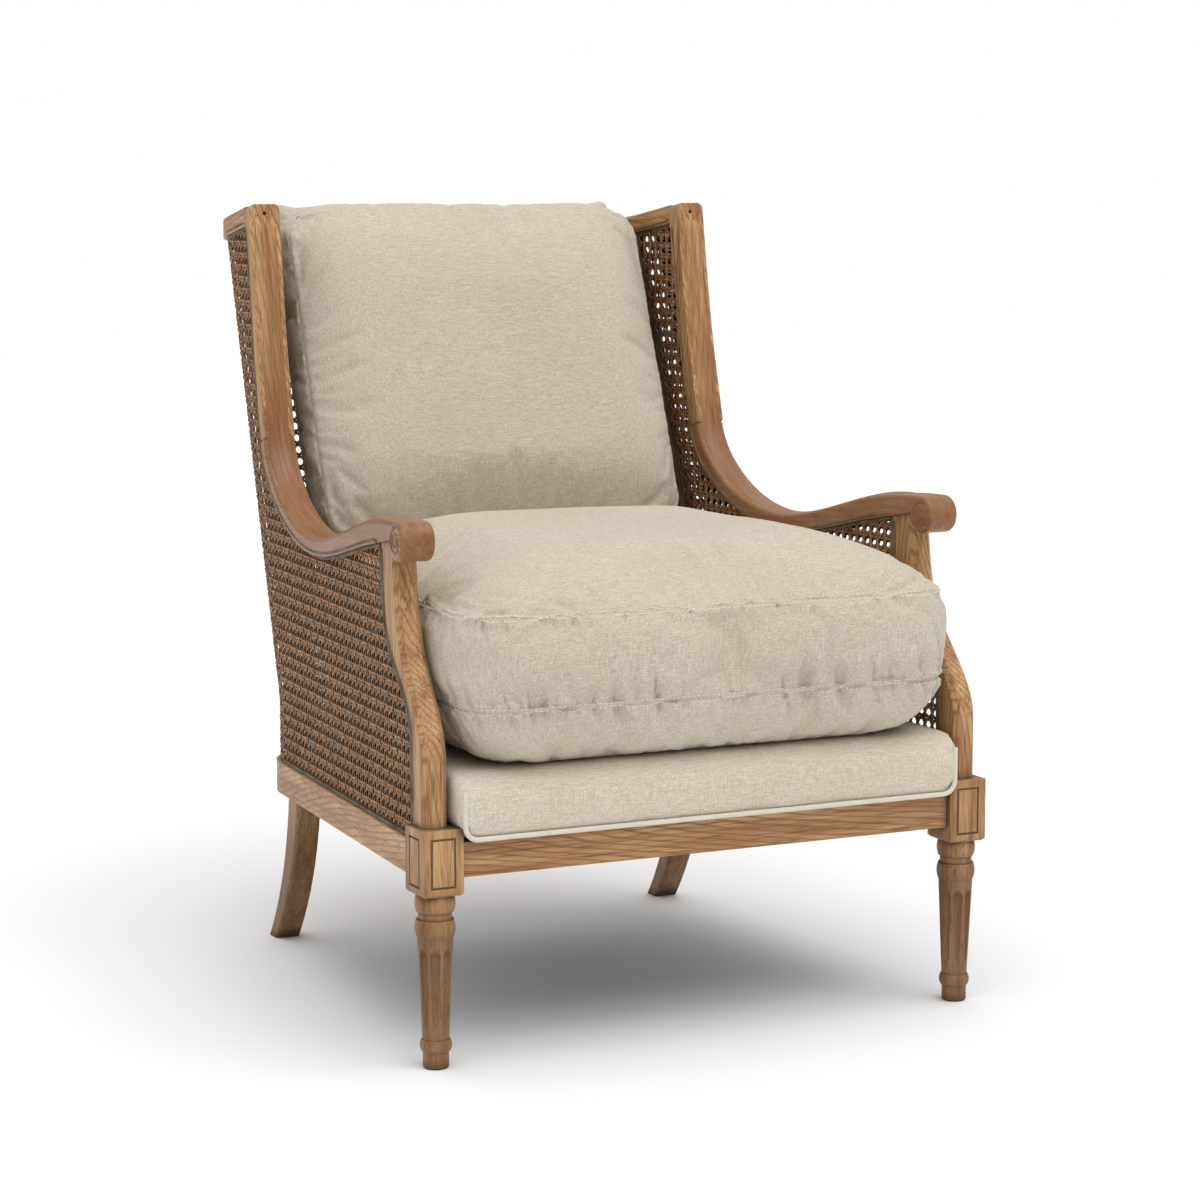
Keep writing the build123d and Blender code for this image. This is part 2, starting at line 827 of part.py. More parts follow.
# Hidden posts in the rear corners carry the top rails
under_plane = Plane(
    origin=(0, crest_face, top_rail_under(crest_face)),
    x_dir=(1, 0, 0),
    z_dir=(0, top_fall, 1),
)
post_top = wing_top_z
with BuildPart() as back_post:
    with BuildSketch(side_plane.offset(-back_post_inset)):
        with BuildLine():
            Polyline(
                (along(back_face - back_post_setback - back_post_depth), rail_top),
                (along(back_face - back_post_setback), rail_top),
                (along(back_face - back_post_setback), recline_start),
                (along(back_y(post_top) - back_post_setback), post_top),
                (along(back_y(post_top) - back_post_setback - back_post_depth), post_top),
                (along(back_face - back_post_setback - back_post_depth), recline_start),
                close=True,
            )
        make_face()
    extrude(amount=-back_post_width)
    split(bisect_by=under_plane, keep=Keep.BOTTOM)
save_pair(back_post.part, "back_post")

# Cane skins of the sides: each fills its opening in the side frame
stile_line_s = stile_mid_rear[0] - wing_rake * stile_mid_rear[1]


def under_meets(run, start):
    """Height where the top rail's underside meets the line s = start + run * z of the side."""
    flat = wing_top_z - top_rail_height + top_fall * stile_top_y
    return (flat - top_fall * start) / (1 + top_fall * run)


def side_opening(rear_setback):
    """Outline of the side opening, with its rear edge set in from the back face."""
    lower_rear = along(back_face - rear_setback)
    rear_start = lower_rear - lean * recline_start
    rear_top = under_meets(lean, rear_start)
    stile_meet = under_meets(wing_rake, stile_line_s)
    with BuildSketch() as opening:
        with BuildLine():
            Polyline(
                (post_foot_rear_y, post_bend_z + post_bend_rise),
                (post_foot_rear_y, rail_top),
                (lower_rear, rail_top),
                (lower_rear, recline_start),
                (rear_start + lean * rear_top, rear_top),
                (stile_line_s + wing_rake * stile_meet, stile_meet),
                stile_mid_rear,
            )
            stile_rear_edge()
            arm_lower_edge()
            Line(neck_under, post_head_rear)
            post_rear_edge()
        make_face()
    return opening.sketch


corner_setback = corner_radius * (1 - sin(taper))
post_front_setback = back_post_setback + back_post_depth
inner_inset = stile_width - cane_setback - cane_thickness
outer_outline = side_opening(corner_setback)
inner_outline = side_opening(post_front_setback + cane_gap)

with BuildPart() as outer_cane:
    with BuildSketch(side_plane.offset(-cane_setback)):
        add(outer_outline)
    extrude(amount=-cane_thickness)
save_pair(outer_cane.part, "outer_cane")

with BuildPart() as inner_cane:
    with BuildSketch(side_plane.offset(-inner_inset)):
        add(inner_outline)
    extrude(amount=-cane_thickness)
save_pair(inner_cane.part, "inner_cane")

# Cane skin of the back: one sheet that bends round both rear corners and follows the recline
cane_radius = corner_radius - cane_setback


def back_section(z):
    """Plan of the back sheet at height z, with its round corners."""
    centre_x, centre_y = corner_centre(back_y(z))
    centre_x -= cane_gap
    with BuildSketch(Plane.XY.offset(z)) as section:
        with BuildLine():
            ends = []
            for radius in (cane_radius, cane_radius - cane_thickness):
                right = CenterArc((centre_x, centre_y), radius, side_taper, 90 - side_taper)
                left = CenterArc((-centre_x, centre_y), radius, 90, 90 - side_taper)
                Line(right @ 1, left @ 0)
                ends.append((right @ 0, left @ 1))
            Line(ends[0][0], ends[1][0])
            Line(ends[0][1], ends[1][1])
        make_face()
    return section.sketch


lower_section = back_section(rail_top + cane_gap)
bend_section = back_section(recline_start)
upper_section = back_section(wing_top_z)
with BuildPart() as back_cane:
    loft([lower_section.face(), bend_section.face()], ruled=True)
    loft([bend_section.face(), upper_section.face()], ruled=True)
    split(bisect_by=under_plane.offset(-cane_gap), keep=Keep.BOTTOM)
save(back_cane.part, "back_cane")

# Corner blocks brace the front corners of the seat frame
block_corner_x = leg_x - block_width / 2
corner_block_y = side_shoulder + corner_block_leg
with BuildPart() as corner_block:
    with BuildSketch(Plane.XY.offset(rail_middle - corner_block_height / 2)):
        with BuildLine():
            Polyline(
                (block_corner_x - corner_block_leg, front_rail_rear),
                (block_corner_x - joint_gap, front_rail_rear),
                (block_corner_x - joint_gap, side_shoulder),
                (side_x(side_shoulder, rail_width), side_shoulder),
                (side_x(corner_block_y, rail_width), corner_block_y),
                close=True,
            )
        make_face()
    extrude(amount=corner_block_height)
save_pair(corner_block.part, "corner_block")

# Webbing: straps from front to rear over straps from side to side
strap_front = front_rail_rear - strap_bearing
strap_rear = back_face - rail_width + strap_bearing
with BuildPart() as webbing_lengthwise:
    with Locations((0, (strap_front + strap_rear) / 2, rail_top + strap_thickness / 2)):
        with GridLocations(long_strap_pitch, 1, long_strap_count, 1):
            Box(strap_width, strap_rear - strap_front, strap_thickness)
save(webbing_lengthwise.part, "webbing_lengthwise")

with BuildPart() as webbing_crosswise:
    for index in range(cross_strap_count):
        strap_y = cross_strap_y + (index - (cross_strap_count - 1) / 2) * cross_strap_pitch
        strap_end = side_x(strap_y + strap_width / 2, rail_width - strap_bearing)
        with Locations((0, strap_y, rail_top - strap_thickness / 2)):
            Box(2 * strap_end, strap_width, strap_thickness)
save(webbing_crosswise.part, "webbing_crosswise")

# Dust cover under the seat, cut round the legs
cover_front = front_rail_front + dust_cover_margin
cover_block_x = block_corner_x - dust_cover_margin
cover_block_y = block_rear + dust_cover_margin
cover_leg_x = rear_leg_x - rear_leg_width / 2 - dust_cover_margin
cover_leg_y = leg_top_front - dust_cover_margin
cover_rear = back_face - dust_cover_margin
with BuildPart() as dust_cover:
    with BuildSketch(Plane.XY.offset(rail_bottom)):
        with BuildLine():
            half = Polyline(
                (0, cover_front),
                (cover_block_x, cover_front),
                (cover_block_x, cover_block_y),
                (side_x(cover_block_y, dust_cover_margin), cover_block_y),
                (side_x(cover_leg_y, dust_cover_margin), cover_leg_y),
                (cover_leg_x, cover_leg_y),
                (cover_leg_x, cover_rear),
                (0, cover_rear),
            )
            mirror(half, about=Plane.YZ)
        make_face()
    extrude(amount=-dust_cover_thickness)
save(dust_cover.part, "dust_cover")

# Deck: the fixed upholstered platform under the seat cushion
side_depth = inner_inset + cane_thickness
deck_bottom = strap_top + soft_gap
deck_side_inset = side_depth + deck_side_gap
deck_step_x = side_x(back_face, back_post_inset + back_post_width) - deck_side_gap
deck_step_y = back_face - post_front_setback - deck_rear_gap
deck_shoulder_y = block_rear + deck_side_gap
deck_front_half_width = side_x(deck_shoulder_y, post_setback + post_width) - deck_post_gap
deck_rear = back_face - rail_width - deck_rear_gap
with BuildPart() as deck_pad:
    with BuildSketch(Plane.XY.offset(deck_bottom)):
        with BuildLine():
            half = Polyline(
                (0, deck_front),
                (deck_front_half_width, deck_front),
                (deck_front_half_width, deck_shoulder_y),
                (side_x(deck_shoulder_y, deck_side_inset), deck_shoulder_y),
                (side_x(deck_step_y, deck_side_inset), deck_step_y),
                (deck_step_x, deck_step_y),
                (deck_step_x, deck_rear),
                (0, deck_rear),
            )
            mirror(half, about=Plane.YZ)
        make_face()
    extrude(amount=deck_top - deck_bottom)
    with Locations((leg_x, leg_y, block_top / 2), (-leg_x, leg_y, block_top / 2)):
        Box(
            block_width + 2 * deck_side_gap,
            block_depth + 2 * deck_side_gap,
            block_top + 2 * soft_gap,
            mode=Mode.SUBTRACT,
        )
    front_edges = deck_pad.faces().sort_by(Axis.Y)[0].edges()
    fillet(front_edges.sort_by(Axis.Z)[-1:], radius=deck_roll)
save(deck_pad.part, "deck_pad")

# Piping along the foot of the deck's front and up both ends
piping_y = deck_front - piping_radius - soft_gap
piping_z = deck_bottom + piping_radius
piping_half = deck_front_half_width - piping_inset
with BuildPart() as deck_piping:
    with BuildLine():
        path = FilletPolyline(
            (-piping_half, piping_y, piping_z + piping_rise),
            (-piping_half, piping_y, piping_z),
            (piping_half, piping_y, piping_z),
            (piping_half, piping_y, piping_z + piping_rise),
            radius=piping_corner,
        )
    with BuildSketch(Plane(path @ 0, z_dir=path % 0)):
        Circle(piping_radius)
    sweep()
save(deck_piping.part, "deck_piping")


# Loose cushions: boxed forms with a crown, their sides drawn in between the seams
def cushion_section(plane, front, rear, front_half, rear_half, corner):
    """Round-cornered outline of one level of a cushion."""
    with BuildSketch(plane) as section:
        with BuildLine():
            Polyline(
                (-front_half, front),
                (front_half, front),
                (rear_half, rear),
                (-rear_half, rear),
                close=True,
            )
        make_face()
        fillet(section.vertices(), radius=corner)
    return section.sketch.face()


def seat_level(z, inset, rear_inset):
    """Outline of the seat cushion at height z, set in from its seams."""
    return cushion_section(
        Plane.XY.offset(z),
        seat_front + inset,
        seat_rear - rear_inset,
        seat_front_half_width - inset,
        seat_rear_half_width - inset,
        seat_corner,
    )


seat_front_half_width = side_x(seat_front, side_depth) - seat_front_gap
seat_rear_half_width = side_x(seat_rear, side_depth) - seat_rear_gap
seat_bottom = deck_top + soft_gap
seat_shoulder = seat_bottom + under_shoulder * (seat_bottom_seam - seat_bottom)
seat_waist = (seat_bottom_seam + seat_top_seam) / 2
crown_rise = seat_crown - seat_top_seam
with BuildPart() as seat_cushion:
    bottom_seam = seat_level(seat_bottom_seam, 0, 0)
    top_seam = seat_level(seat_top_seam, 0, 0)
    loft([
        seat_level(seat_bottom, seat_under_inset, seat_under_inset),
        seat_level(seat_shoulder, under_shoulder_inset, under_shoulder_inset),
        bottom_seam,
    ])
    loft([bottom_seam, seat_level(seat_waist, seat_draw_in, seat_draw_in), top_seam])
    loft([
        top_seam,
        seat_level(seat_top_seam + crown_shoulder * crown_rise, crown_inset, crown_rear_inset),
        seat_level(seat_crown, 2 * crown_inset, 2 * crown_rear_inset),
    ])
save(seat_cushion.part, "seat_cushion")

back_half_width = side_x(stile_top_y, side_depth) - back_side_gap
crest_edge_z = top_rail_top(crest_inner)
back_plane = Plane(
    origin=(0, crest_inner - back_gap - lean * (crest_edge_z - back_bottom), back_bottom),
    x_dir=(1, 0, 0),
    z_dir=(0, -cos(radians(recline)), sin(radians(recline))),
)


def back_level(depth, inset):
    """Outline of the back cushion at this depth in front of its rear face."""
    top = back_height - back_front_drop * depth / back_thickness
    return cushion_section(
        back_plane.offset(depth),
        inset,
        top - inset,
        back_half_width - inset,
        back_half_width - inset,
        back_corner,
    )


with BuildPart() as back_cushion:
    rear_seam = back_level(back_edge_tuck, back_rear_inset)
    front_seam = back_level(back_thickness, 0)
    back_waist = back_level((back_edge_tuck + back_thickness) / 2, back_rear_inset / 2 + back_draw_in)
    loft([back_level(0, back_edge_tuck + back_rear_inset), rear_seam])
    loft([rear_seam, back_waist, front_seam])
    loft([
        front_seam,
        back_level(back_thickness + crown_shoulder * back_crown, back_crown_inset),
        back_level(back_thickness + back_crown, 2 * back_crown_inset),
    ])
save(back_cushion.part, "back_cushion")
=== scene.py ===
import math

import bmesh
import bpy
import numpy as np
from mathutils import Matrix, Vector, noise
from mathutils.bvhtree import BVHTree


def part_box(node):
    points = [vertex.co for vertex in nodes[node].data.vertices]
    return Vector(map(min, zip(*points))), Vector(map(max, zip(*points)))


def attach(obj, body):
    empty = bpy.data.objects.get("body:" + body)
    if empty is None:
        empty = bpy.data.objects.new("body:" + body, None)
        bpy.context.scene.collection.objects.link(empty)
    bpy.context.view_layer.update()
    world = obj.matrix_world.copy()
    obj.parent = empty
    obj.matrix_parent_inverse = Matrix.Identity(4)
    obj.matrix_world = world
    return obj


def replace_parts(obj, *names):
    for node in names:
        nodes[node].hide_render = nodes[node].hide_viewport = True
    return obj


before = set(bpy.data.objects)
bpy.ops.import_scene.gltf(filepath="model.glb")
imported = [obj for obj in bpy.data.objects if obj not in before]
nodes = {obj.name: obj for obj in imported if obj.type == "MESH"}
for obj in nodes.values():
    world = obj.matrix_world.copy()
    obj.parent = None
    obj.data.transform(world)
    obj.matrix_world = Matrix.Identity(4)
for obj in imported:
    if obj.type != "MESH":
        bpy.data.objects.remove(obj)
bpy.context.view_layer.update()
scene = bpy.context.scene
rng = np.random.default_rng(7)

# Places of the frame, in metres: the sides draw together to the rear and the back leans
SIDE_OFFSET = 0.3448
SIDE_TAPER = math.radians(3.6)
BACK_FACE = 0.234
CORNER_RADIUS = 0.100
RECLINE = math.radians(20.4)
RECLINE_START = 0.342
RAIL_TOP = 0.262
WING_TOP = 0.975
STILE_TOP_Y = 0.247
TOP_RAIL_HEIGHT = 0.025
TOP_FALL = math.tan(math.radians(8.5))
CANE_SETBACK = 0.005
CANE_THICKNESS = 0.0025
INNER_INSET = 0.0325
ARM_PROUD = 0.001
ARM_WIDTH = 0.042
SCROLL_Y = -0.339
SCROLL_Z = 0.598
LEAN = math.tan(RECLINE)

# Cane weave
CANE_PITCH = 0.0154
PAIR_HALF = 0.0019
STRAND_WIDTH = 0.0033
DIAGONAL_WIDTH = 0.0033
STRAND_DEPTH = 0.0010
STRAND_STRAY = 0.00012
LAYER_STEP = 0.0006
PAIR_LEVELS = ((-1, -1.4), (1, 0.6))
ROW_LIFT = 0.8
WEAVE_SWING = 0.0007
DIAGONAL_SWING = 0.0012
EDGE_REACH = 0.002
SHORTEST_RUN = 0.003
END_MARGIN = 0.001


def linear(red, green, blue):
    """Colour for a shader from display values of 0 to 255."""
    parts = [c / 255 for c in (red, green, blue)]
    return tuple(c / 12.92 if c <= 0.04045 else ((c + 0.055) / 1.055) ** 2.4 for c in parts) + (1.0,)


# Materials
class Nodes:
    """Short names for making and joining the nodes of a tree."""

    def __init__(self, tree):
        self.tree = tree

    def node(self, kind, inputs=None, **settings):
        made = self.tree.nodes.new(kind)
        for key, value in settings.items():
            setattr(made, key, value)
        for key, value in (inputs or {}).items():
            self.feed(made.inputs[key], value)
        return made

    def feed(self, socket, value):
        if isinstance(value, bpy.types.NodeSocket):
            self.tree.links.new(value, socket)
        else:
            socket.default_value = value

    def span(self, value, low, high, to_low=0.0, to_high=1.0):
        inputs = {"Value": value, 1: low, 2: high, 3: to_low, 4: to_high}
        return self.node("ShaderNodeMapRange", inputs, clamp=True).outputs[0]


class Shading(Nodes):
    """One procedural material."""

    def __init__(self, name, place="Object"):
        self.material = bpy.data.materials.new(name)
        self.material.use_nodes = True
        super().__init__(self.material.node_tree)
        self.surface = self.tree.nodes["Principled BSDF"]
        self.place = self.node("ShaderNodeTexCoord").outputs[place]

    def stretched(self, scale, offset=(0, 0, 0)):
        return self.node("ShaderNodeMapping", {0: self.place, 1: offset, 3: scale}).outputs[0]

    def noise(self, vector, scale=1.0, detail=4.0, roughness=0.55, distortion=0.0):
        inputs = {"Vector": vector, "Scale": scale, "Detail": detail}
        inputs.update({"Roughness": roughness, "Distortion": distortion})
        return self.node("ShaderNodeTexNoise", inputs).outputs[0]

    def math(self, operation, a, b=0.0, clamp=False):
        return self.node("ShaderNodeMath", {0: a, 1: b}, operation=operation, use_clamp=clamp).outputs[0]

    def mix(self, share, a, b):
        return self.node("ShaderNodeMix", {0: share, 6: a, 7: b}, data_type="RGBA").outputs[2]

    def bump(self, height, distance, strength=1.0, normal=None):
        inputs = {"Height": height, "Distance": distance, "Strength": strength}
        if normal is not None:
            inputs["Normal"] = normal
        return self.node("ShaderNodeBump", inputs).outputs[0]

    def set(self, **values):
        for key, value in values.items():
            self.feed(self.surface.inputs[key.replace("_", " ")], value)
        return self.material


GRAIN_ALONG = {"x": 0, "y": 1, "z": 2}


def grain_scale(axis, across, along):
    scale = [across] * 3
    scale[GRAIN_ALONG[axis]] = along
    return tuple(scale)


def weathered_wood(name, axis, place="Object", turned=False, stained=False):
    """Warm brown wood with ringed grain, open pores, grey wash in its recesses and paler edges.

    Turned legs have fewer rings, painted shade in their flutes and darken towards the floor; stained arms
    are deeper brown and glossier.
    """
    s = Shading(name, place)
    streak = s.noise(s.stretched(grain_scale(axis, 120, 5)), 1.0, 7, 0.62, 0.5)
    band = s.noise(s.stretched(grain_scale(axis, 24, 1.5), (3, 5, 7)), 1.0, 3, 0.5, 0.8)
    pores = s.noise(s.stretched(grain_scale(axis, 700, 20), (1, 2, 3)), 1.0, 2, 0.6)
    blotch = s.noise(s.place, 9, 4, 0.6)
    ring_inputs = {"Vector": s.stretched(grain_scale(axis, 1, 0.16)), "Scale": 78.0, "Distortion": 16.0}
    ring_inputs.update({"Detail": 2.0, "Detail Scale": 0.16, "Detail Roughness": 0.5})
    rings = s.node("ShaderNodeTexWave", ring_inputs, bands_direction="DIAGONAL").outputs["Fac"]
    tone = s.math("ADD", s.math("MULTIPLY", streak, 0.62), s.math("MULTIPLY", band, 0.42))
    colour = s.mix(s.span(tone, 0.40, 0.64), linear(148, 100, 62), linear(222, 178, 126))
    colour = s.mix(s.span(blotch, 0.42, 0.66, 0, 0.5), colour, linear(170, 116, 70))
    ring_depth = 0.15 if turned else 0.34 if stained else 0.55
    line = s.math("MULTIPLY", s.span(rings, 0.02, 0.36, ring_depth, 0), s.span(streak, 0.36, 0.56, 0.45, 1))
    colour = s.mix(line, colour, linear(104, 66, 40))
    pore_mask = s.span(pores, 0.55, 0.68, 0, 0.8)
    colour = s.mix(pore_mask, colour, linear(92, 60, 42))
    # Ambient occlusion marks the recesses: on flat wood a grey wash patina settles there, on the turned
    # legs it is painted shade that darkens the flutes.
    reach = 0.018 if turned else 0.010
    recess = s.node("ShaderNodeAmbientOcclusion", {"Distance": reach}, samples=8).outputs["AO"]
    recess_patina_and_flute_shade = s.span(recess, 0.46, 0.95 if turned else 0.88, 1.7 if turned else 1, 0)
    washed = s.math("MULTIPLY", s.span(streak, 0.52, 0.68), s.span(blotch, 0.40, 0.62, 0.05, 0.7))
    # wash carries the grey wash and, on the turned legs, the painted shade in the flutes.
    wash = s.math("ADD", s.math("MULTIPLY", washed, 0.6), s.math("MULTIPLY", recess_patina_and_flute_shade, 0.6), True)
    colour = s.mix(wash, colour, linear(78, 67, 51) if turned else linear(126, 116, 98))
    rounded = s.node("ShaderNodeBevel", {"Radius": 0.0022}, samples=6).outputs[0]
    facing = s.node("ShaderNodeNewGeometry").outputs["Normal"]
    turn = s.node("ShaderNodeVectorMath", {0: rounded, 1: facing}, operation="DOT_PRODUCT").outputs["Value"]
    edge = s.math("MULTIPLY", s.span(turn, 0.80, 0.985, 1, 0), s.span(blotch, 0.35, 0.6, 0.35, 1))
    colour = s.mix(s.math("MULTIPLY", edge, 0.5), colour, linear(216, 176, 126))
    if turned:
        height_above_floor = s.node("ShaderNodeSeparateXYZ", {0: s.place}).outputs["Z"]
        low = s.span(height_above_floor, 0.15, 0.24, 0.62, 0)
        colour = s.mix(low, colour, linear(92, 60, 36))
    if stained:
        place_in_chair = s.node("ShaderNodeTexCoord").outputs["Object"]
        height_above_floor = s.node("ShaderNodeSeparateXYZ", {0: place_in_chair}).outputs["Z"]
        colour = s.mix(s.span(height_above_floor, 0.66, 0.88, 0.68, 0), colour, linear(126, 80, 51))
    height = s.math("SUBTRACT", s.math("MULTIPLY", streak, 0.5), s.math("MULTIPLY", pore_mask, 0.5))
    rough = s.span(wash, 0, 1, 0.32 if stained else 0.40, 0.76)
    return s.set(
        Base_Color=colour,
        Roughness=rough,
        Specular_IOR_Level=0.32,
        Normal=s.bump(height, 0.0006, 0.55, rounded),
    )


def bare_wood(name):
    """Plain timber of the hidden pieces, stained dark."""
    s = Shading(name)
    streak = s.noise(s.stretched((70, 70, 9)), 1.0, 6, 0.6, 0.3)
    fleck = s.noise(s.stretched((400, 400, 30)), 1.0, 2)
    colour = s.mix(s.span(streak, 0.38, 0.66), linear(74, 52, 36), linear(112, 82, 56))
    colour = s.mix(s.span(fleck, 0.58, 0.7, 0, 0.4), colour, linear(50, 35, 25))
    return s.set(Base_Color=colour, Roughness=0.7, Normal=s.bump(streak, 0.0003, 0.4))


def woven_cane(name, painted_shade_side=0):
    """Split cane: brown skin worn to orange in places and greyed in others, with painted shade on the face
    that looks into the cavity between the sheets.
    """
    s = Shading(name)
    patch = s.noise(s.place, 14, 4, 0.6)
    strand = s.noise(s.place, 160, 3, 0.6)
    fine = s.noise(s.place, 900, 2, 0.5)
    colour = s.mix(s.span(strand, 0.36, 0.64), linear(104, 66, 38), linear(196, 142, 88))
    colour = s.mix(s.span(patch, 0.40, 0.62, 0, 0.55), colour, linear(146, 104, 68))
    colour = s.mix(s.span(s.noise(s.place, 60, 3), 0.48, 0.66, 0, 0.6), colour, linear(134, 124, 106))
    colour = s.mix(s.span(fine, 0.55, 0.75, 0, 0.45), colour, linear(66, 40, 26))
    # Painted shade: faces turned towards the cavity between the outer and inner sheets are darkened nearly
    # to black, so that the holes look dark.
    if painted_shade_side:
        across = s.node("ShaderNodeSeparateXYZ", {0: s.place}).outputs["X"]
        facing = s.node("ShaderNodeNewGeometry").outputs["True Normal"]
        facing_x = s.node("ShaderNodeSeparateXYZ", {0: facing}).outputs["X"]
        outward = s.math("MULTIPLY", facing_x, s.math("SIGN", across))
        inner = s.span(outward, 0.02 * painted_shade_side, 0.22 * painted_shade_side, 0, 0.88)
        colour = s.mix(inner, colour, linear(34, 21, 14))
    rough = s.span(patch, 0.3, 0.7, 0.40, 0.62)
    return s.set(Base_Color=colour, Roughness=rough, Normal=s.bump(fine, 0.0002, 0.4))


def grey_strip(name):
    """Reed strip that covers the edge of the cane, greyed by the wash."""
    s = Shading(name)
    patch = s.noise(s.place, 30, 4, 0.6)
    fine = s.noise(s.place, 500, 2)
    colour = s.mix(s.span(patch, 0.36, 0.64), linear(84, 72, 54), linear(126, 114, 94))
    colour = s.mix(s.span(fine, 0.55, 0.72, 0, 0.4), colour, linear(92, 70, 52))
    return s.set(Base_Color=colour, Roughness=0.7, Normal=s.bump(fine, 0.0002, 0.5))


def linen_cloth(name, light, dark, pitch=0.0011):
    """Plain-woven linen with thick and thin yarns in both directions."""
    s = Shading(name)
    fast = 1.0 / pitch
    yarns = [s.noise(s.stretched(grain_scale(axis, fast, 70.0)), 1.0, 2, 0.6) for axis in "xyz"]
    weave = s.math("ADD", s.math("ADD", yarns[0], yarns[1]), yarns[2])
    slub_scale = [grain_scale(axis, fast * 0.45, 20.0) for axis in "xyz"]
    slubs = [s.noise(s.stretched(scale, (5, 3, 1)), 1.0, 2, 0.6) for scale in slub_scale]
    thick = s.math("ADD", s.math("ADD", slubs[0], slubs[1]), slubs[2])
    broad = s.noise(s.place, 6, 3, 0.5)
    colour = s.mix(s.span(weave, 1.15, 1.85), dark, light)
    colour = s.mix(s.span(thick, 1.60, 1.95, 0, 0.20), colour, light)
    colour = s.mix(s.span(thick, 1.05, 1.38, 0.20, 0), colour, dark)
    colour = s.mix(s.span(broad, 0.35, 0.7, 0, 0.16), colour, dark)
    height = s.math("ADD", weave, s.math("MULTIPLY", thick, 0.7))
    return s.set(
        Base_Color=colour,
        Roughness=0.92,
        Normal=s.bump(height, 0.0004, 0.35),
        Sheen_Weight=0.12,
        Sheen_Roughness=0.5,
    )


def strap_cloth(name):
    """Jute webbing with coarse cross ribs."""
    s = Shading(name)
    ribs = s.noise(s.stretched((500, 500, 500)), 1.0, 2)
    broad = s.noise(s.place, 40, 3)
    colour = s.mix(s.span(ribs, 0.35, 0.65), linear(120, 94, 60), linear(186, 158, 112))
    colour = s.mix(s.span(broad, 0.4, 0.7, 0, 0.4), colour, linear(104, 80, 52))
    return s.set(Base_Color=colour, Roughness=0.95, Normal=s.bump(ribs, 0.0006, 0.6))


def lining_cloth(name):
    """Thin dark lining stapled under the seat."""
    s = Shading(name)
    warp = s.noise(s.stretched((900, 30, 900)), 1.0, 2)
    weft = s.noise(s.stretched((30, 900, 900)), 1.0, 2)
    both = s.math("ADD", warp, weft)
    colour = s.mix(s.span(both, 0.75, 1.25), linear(30, 29, 28), linear(66, 63, 60))
    return s.set(Base_Color=colour, Roughness=0.95, Normal=s.bump(both, 0.0003, 0.5))


WOOD = {axis: weathered_wood("frame_wood_" + axis, axis) for axis in "xyz"}
WOOD["leg"] = weathered_wood("frame_wood_leg", "z", turned=True)
WOOD["arm"] = weathered_wood("frame_wood_arm", "y", stained=True)
SWEPT_WOOD = weathered_wood("frame_wood_swept", "y", "UV", stained=True)
PLAIN_WOOD = bare_wood("plain_wood")
# Which face of each sheet gets painted shade from the cavity behind it; the back sheet gets none.
PAINTED_SHADE_SIDES = {"outer": -1, "inner": 1, "back": 0}
CANE = {layer: woven_cane("cane_" + layer, side) for layer, side in PAINTED_SHADE_SIDES.items()}
CANE_STRIP = grey_strip("cane_strip")
LINEN = linen_cloth("linen", linear(219, 211, 195), linear(172, 159, 138))
DECK_LINEN = linen_cloth("deck_linen", linear(230, 222, 206), linear(186, 174, 153))
PIPING = linen_cloth("piping", linear(232, 226, 212), linear(206, 197, 180), 0.0007)
THREAD = linen_cloth("thread", linear(246, 241, 229), linear(222, 213, 196), 0.0006)
WEBBING = strap_cloth("webbing")
LINING = lining_cloth("lining")

GRAIN = {
    "x": ["front_seat_rail", "rear_seat_rail", "crest_rail"],
    "y": ["side_seat_rail", "rear_corner_rail", "wing_top_rail"],
    "arm": ["armrest"],
    "z": ["arm_post", "wing_stile"],
    "leg": ["front_leg", "rear_leg"],
}
PLAIN_NODES = [
    "back_post_left", "back_post_right", "corner_block_left", "corner_block_right",
    "rail_dowels", "crest_dowels", "arm_loose_tenons", "wing_pegs",
]


def dress(obj, material):
    obj.data.materials.clear()
    obj.data.materials.append(material)


for grain_axis, stems in GRAIN.items():
    for stem in stems:
        for node_name in (stem, stem + "_left", stem + "_right"):
            if node_name in nodes:
                dress(nodes[node_name], WOOD[grain_axis])
for node_name in PLAIN_NODES:
    dress(nodes[node_name], PLAIN_WOOD)


# Mesh helpers
WELD = 1e-5
HANDS = ((1, "right"), (-1, "left"))


def new_object(name, data):
    obj = bpy.data.objects.new(name, data)
    scene.collection.objects.link(obj)
    return obj


def add_piece(name, verts, faces, material, body):
    mesh = bpy.data.meshes.new(name)
    mesh.from_pydata([tuple(map(float, v)) for v in verts], [], [tuple(map(int, f)) for f in faces])
    mesh.update()
    mesh.shade_smooth()
    mesh.materials.append(material)
    obj = new_object(name, mesh)
    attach(obj, body)
    return obj


class Mesher:
    """Collects rings of points into closed tubes."""

    def __init__(self):
        self.verts = []
        self.faces = []

    def tube(self, rings, closed=False):
        """Skin over rings of equal length, with end caps unless the tube closes on itself."""
        start = len(self.verts)
        size = len(rings[0])
        count = len(rings)
        for ring in rings:
            self.verts.extend(ring)
        for i in range(count if closed else count - 1):
            a = start + i * size
            b = start + ((i + 1) % count) * size
            for k in range(size):
                n = (k + 1) % size
                self.faces.append((a + k, a + n, b + n, b + k))
        if not closed:
            self.faces.append(tuple(start + k for k in reversed(range(size))))
            last = start + (count - 1) * size
            self.faces.append(tuple(last + k for k in range(size)))

    def piece(self, name, material, slot, body="frame"):
        return add_piece(name, self.verts, self.faces, material, body)


def unit(v):
    v = np.asarray(v, float)
    return v / np.maximum(np.linalg.norm(v, axis=-1, keepdims=True), 1e-12)


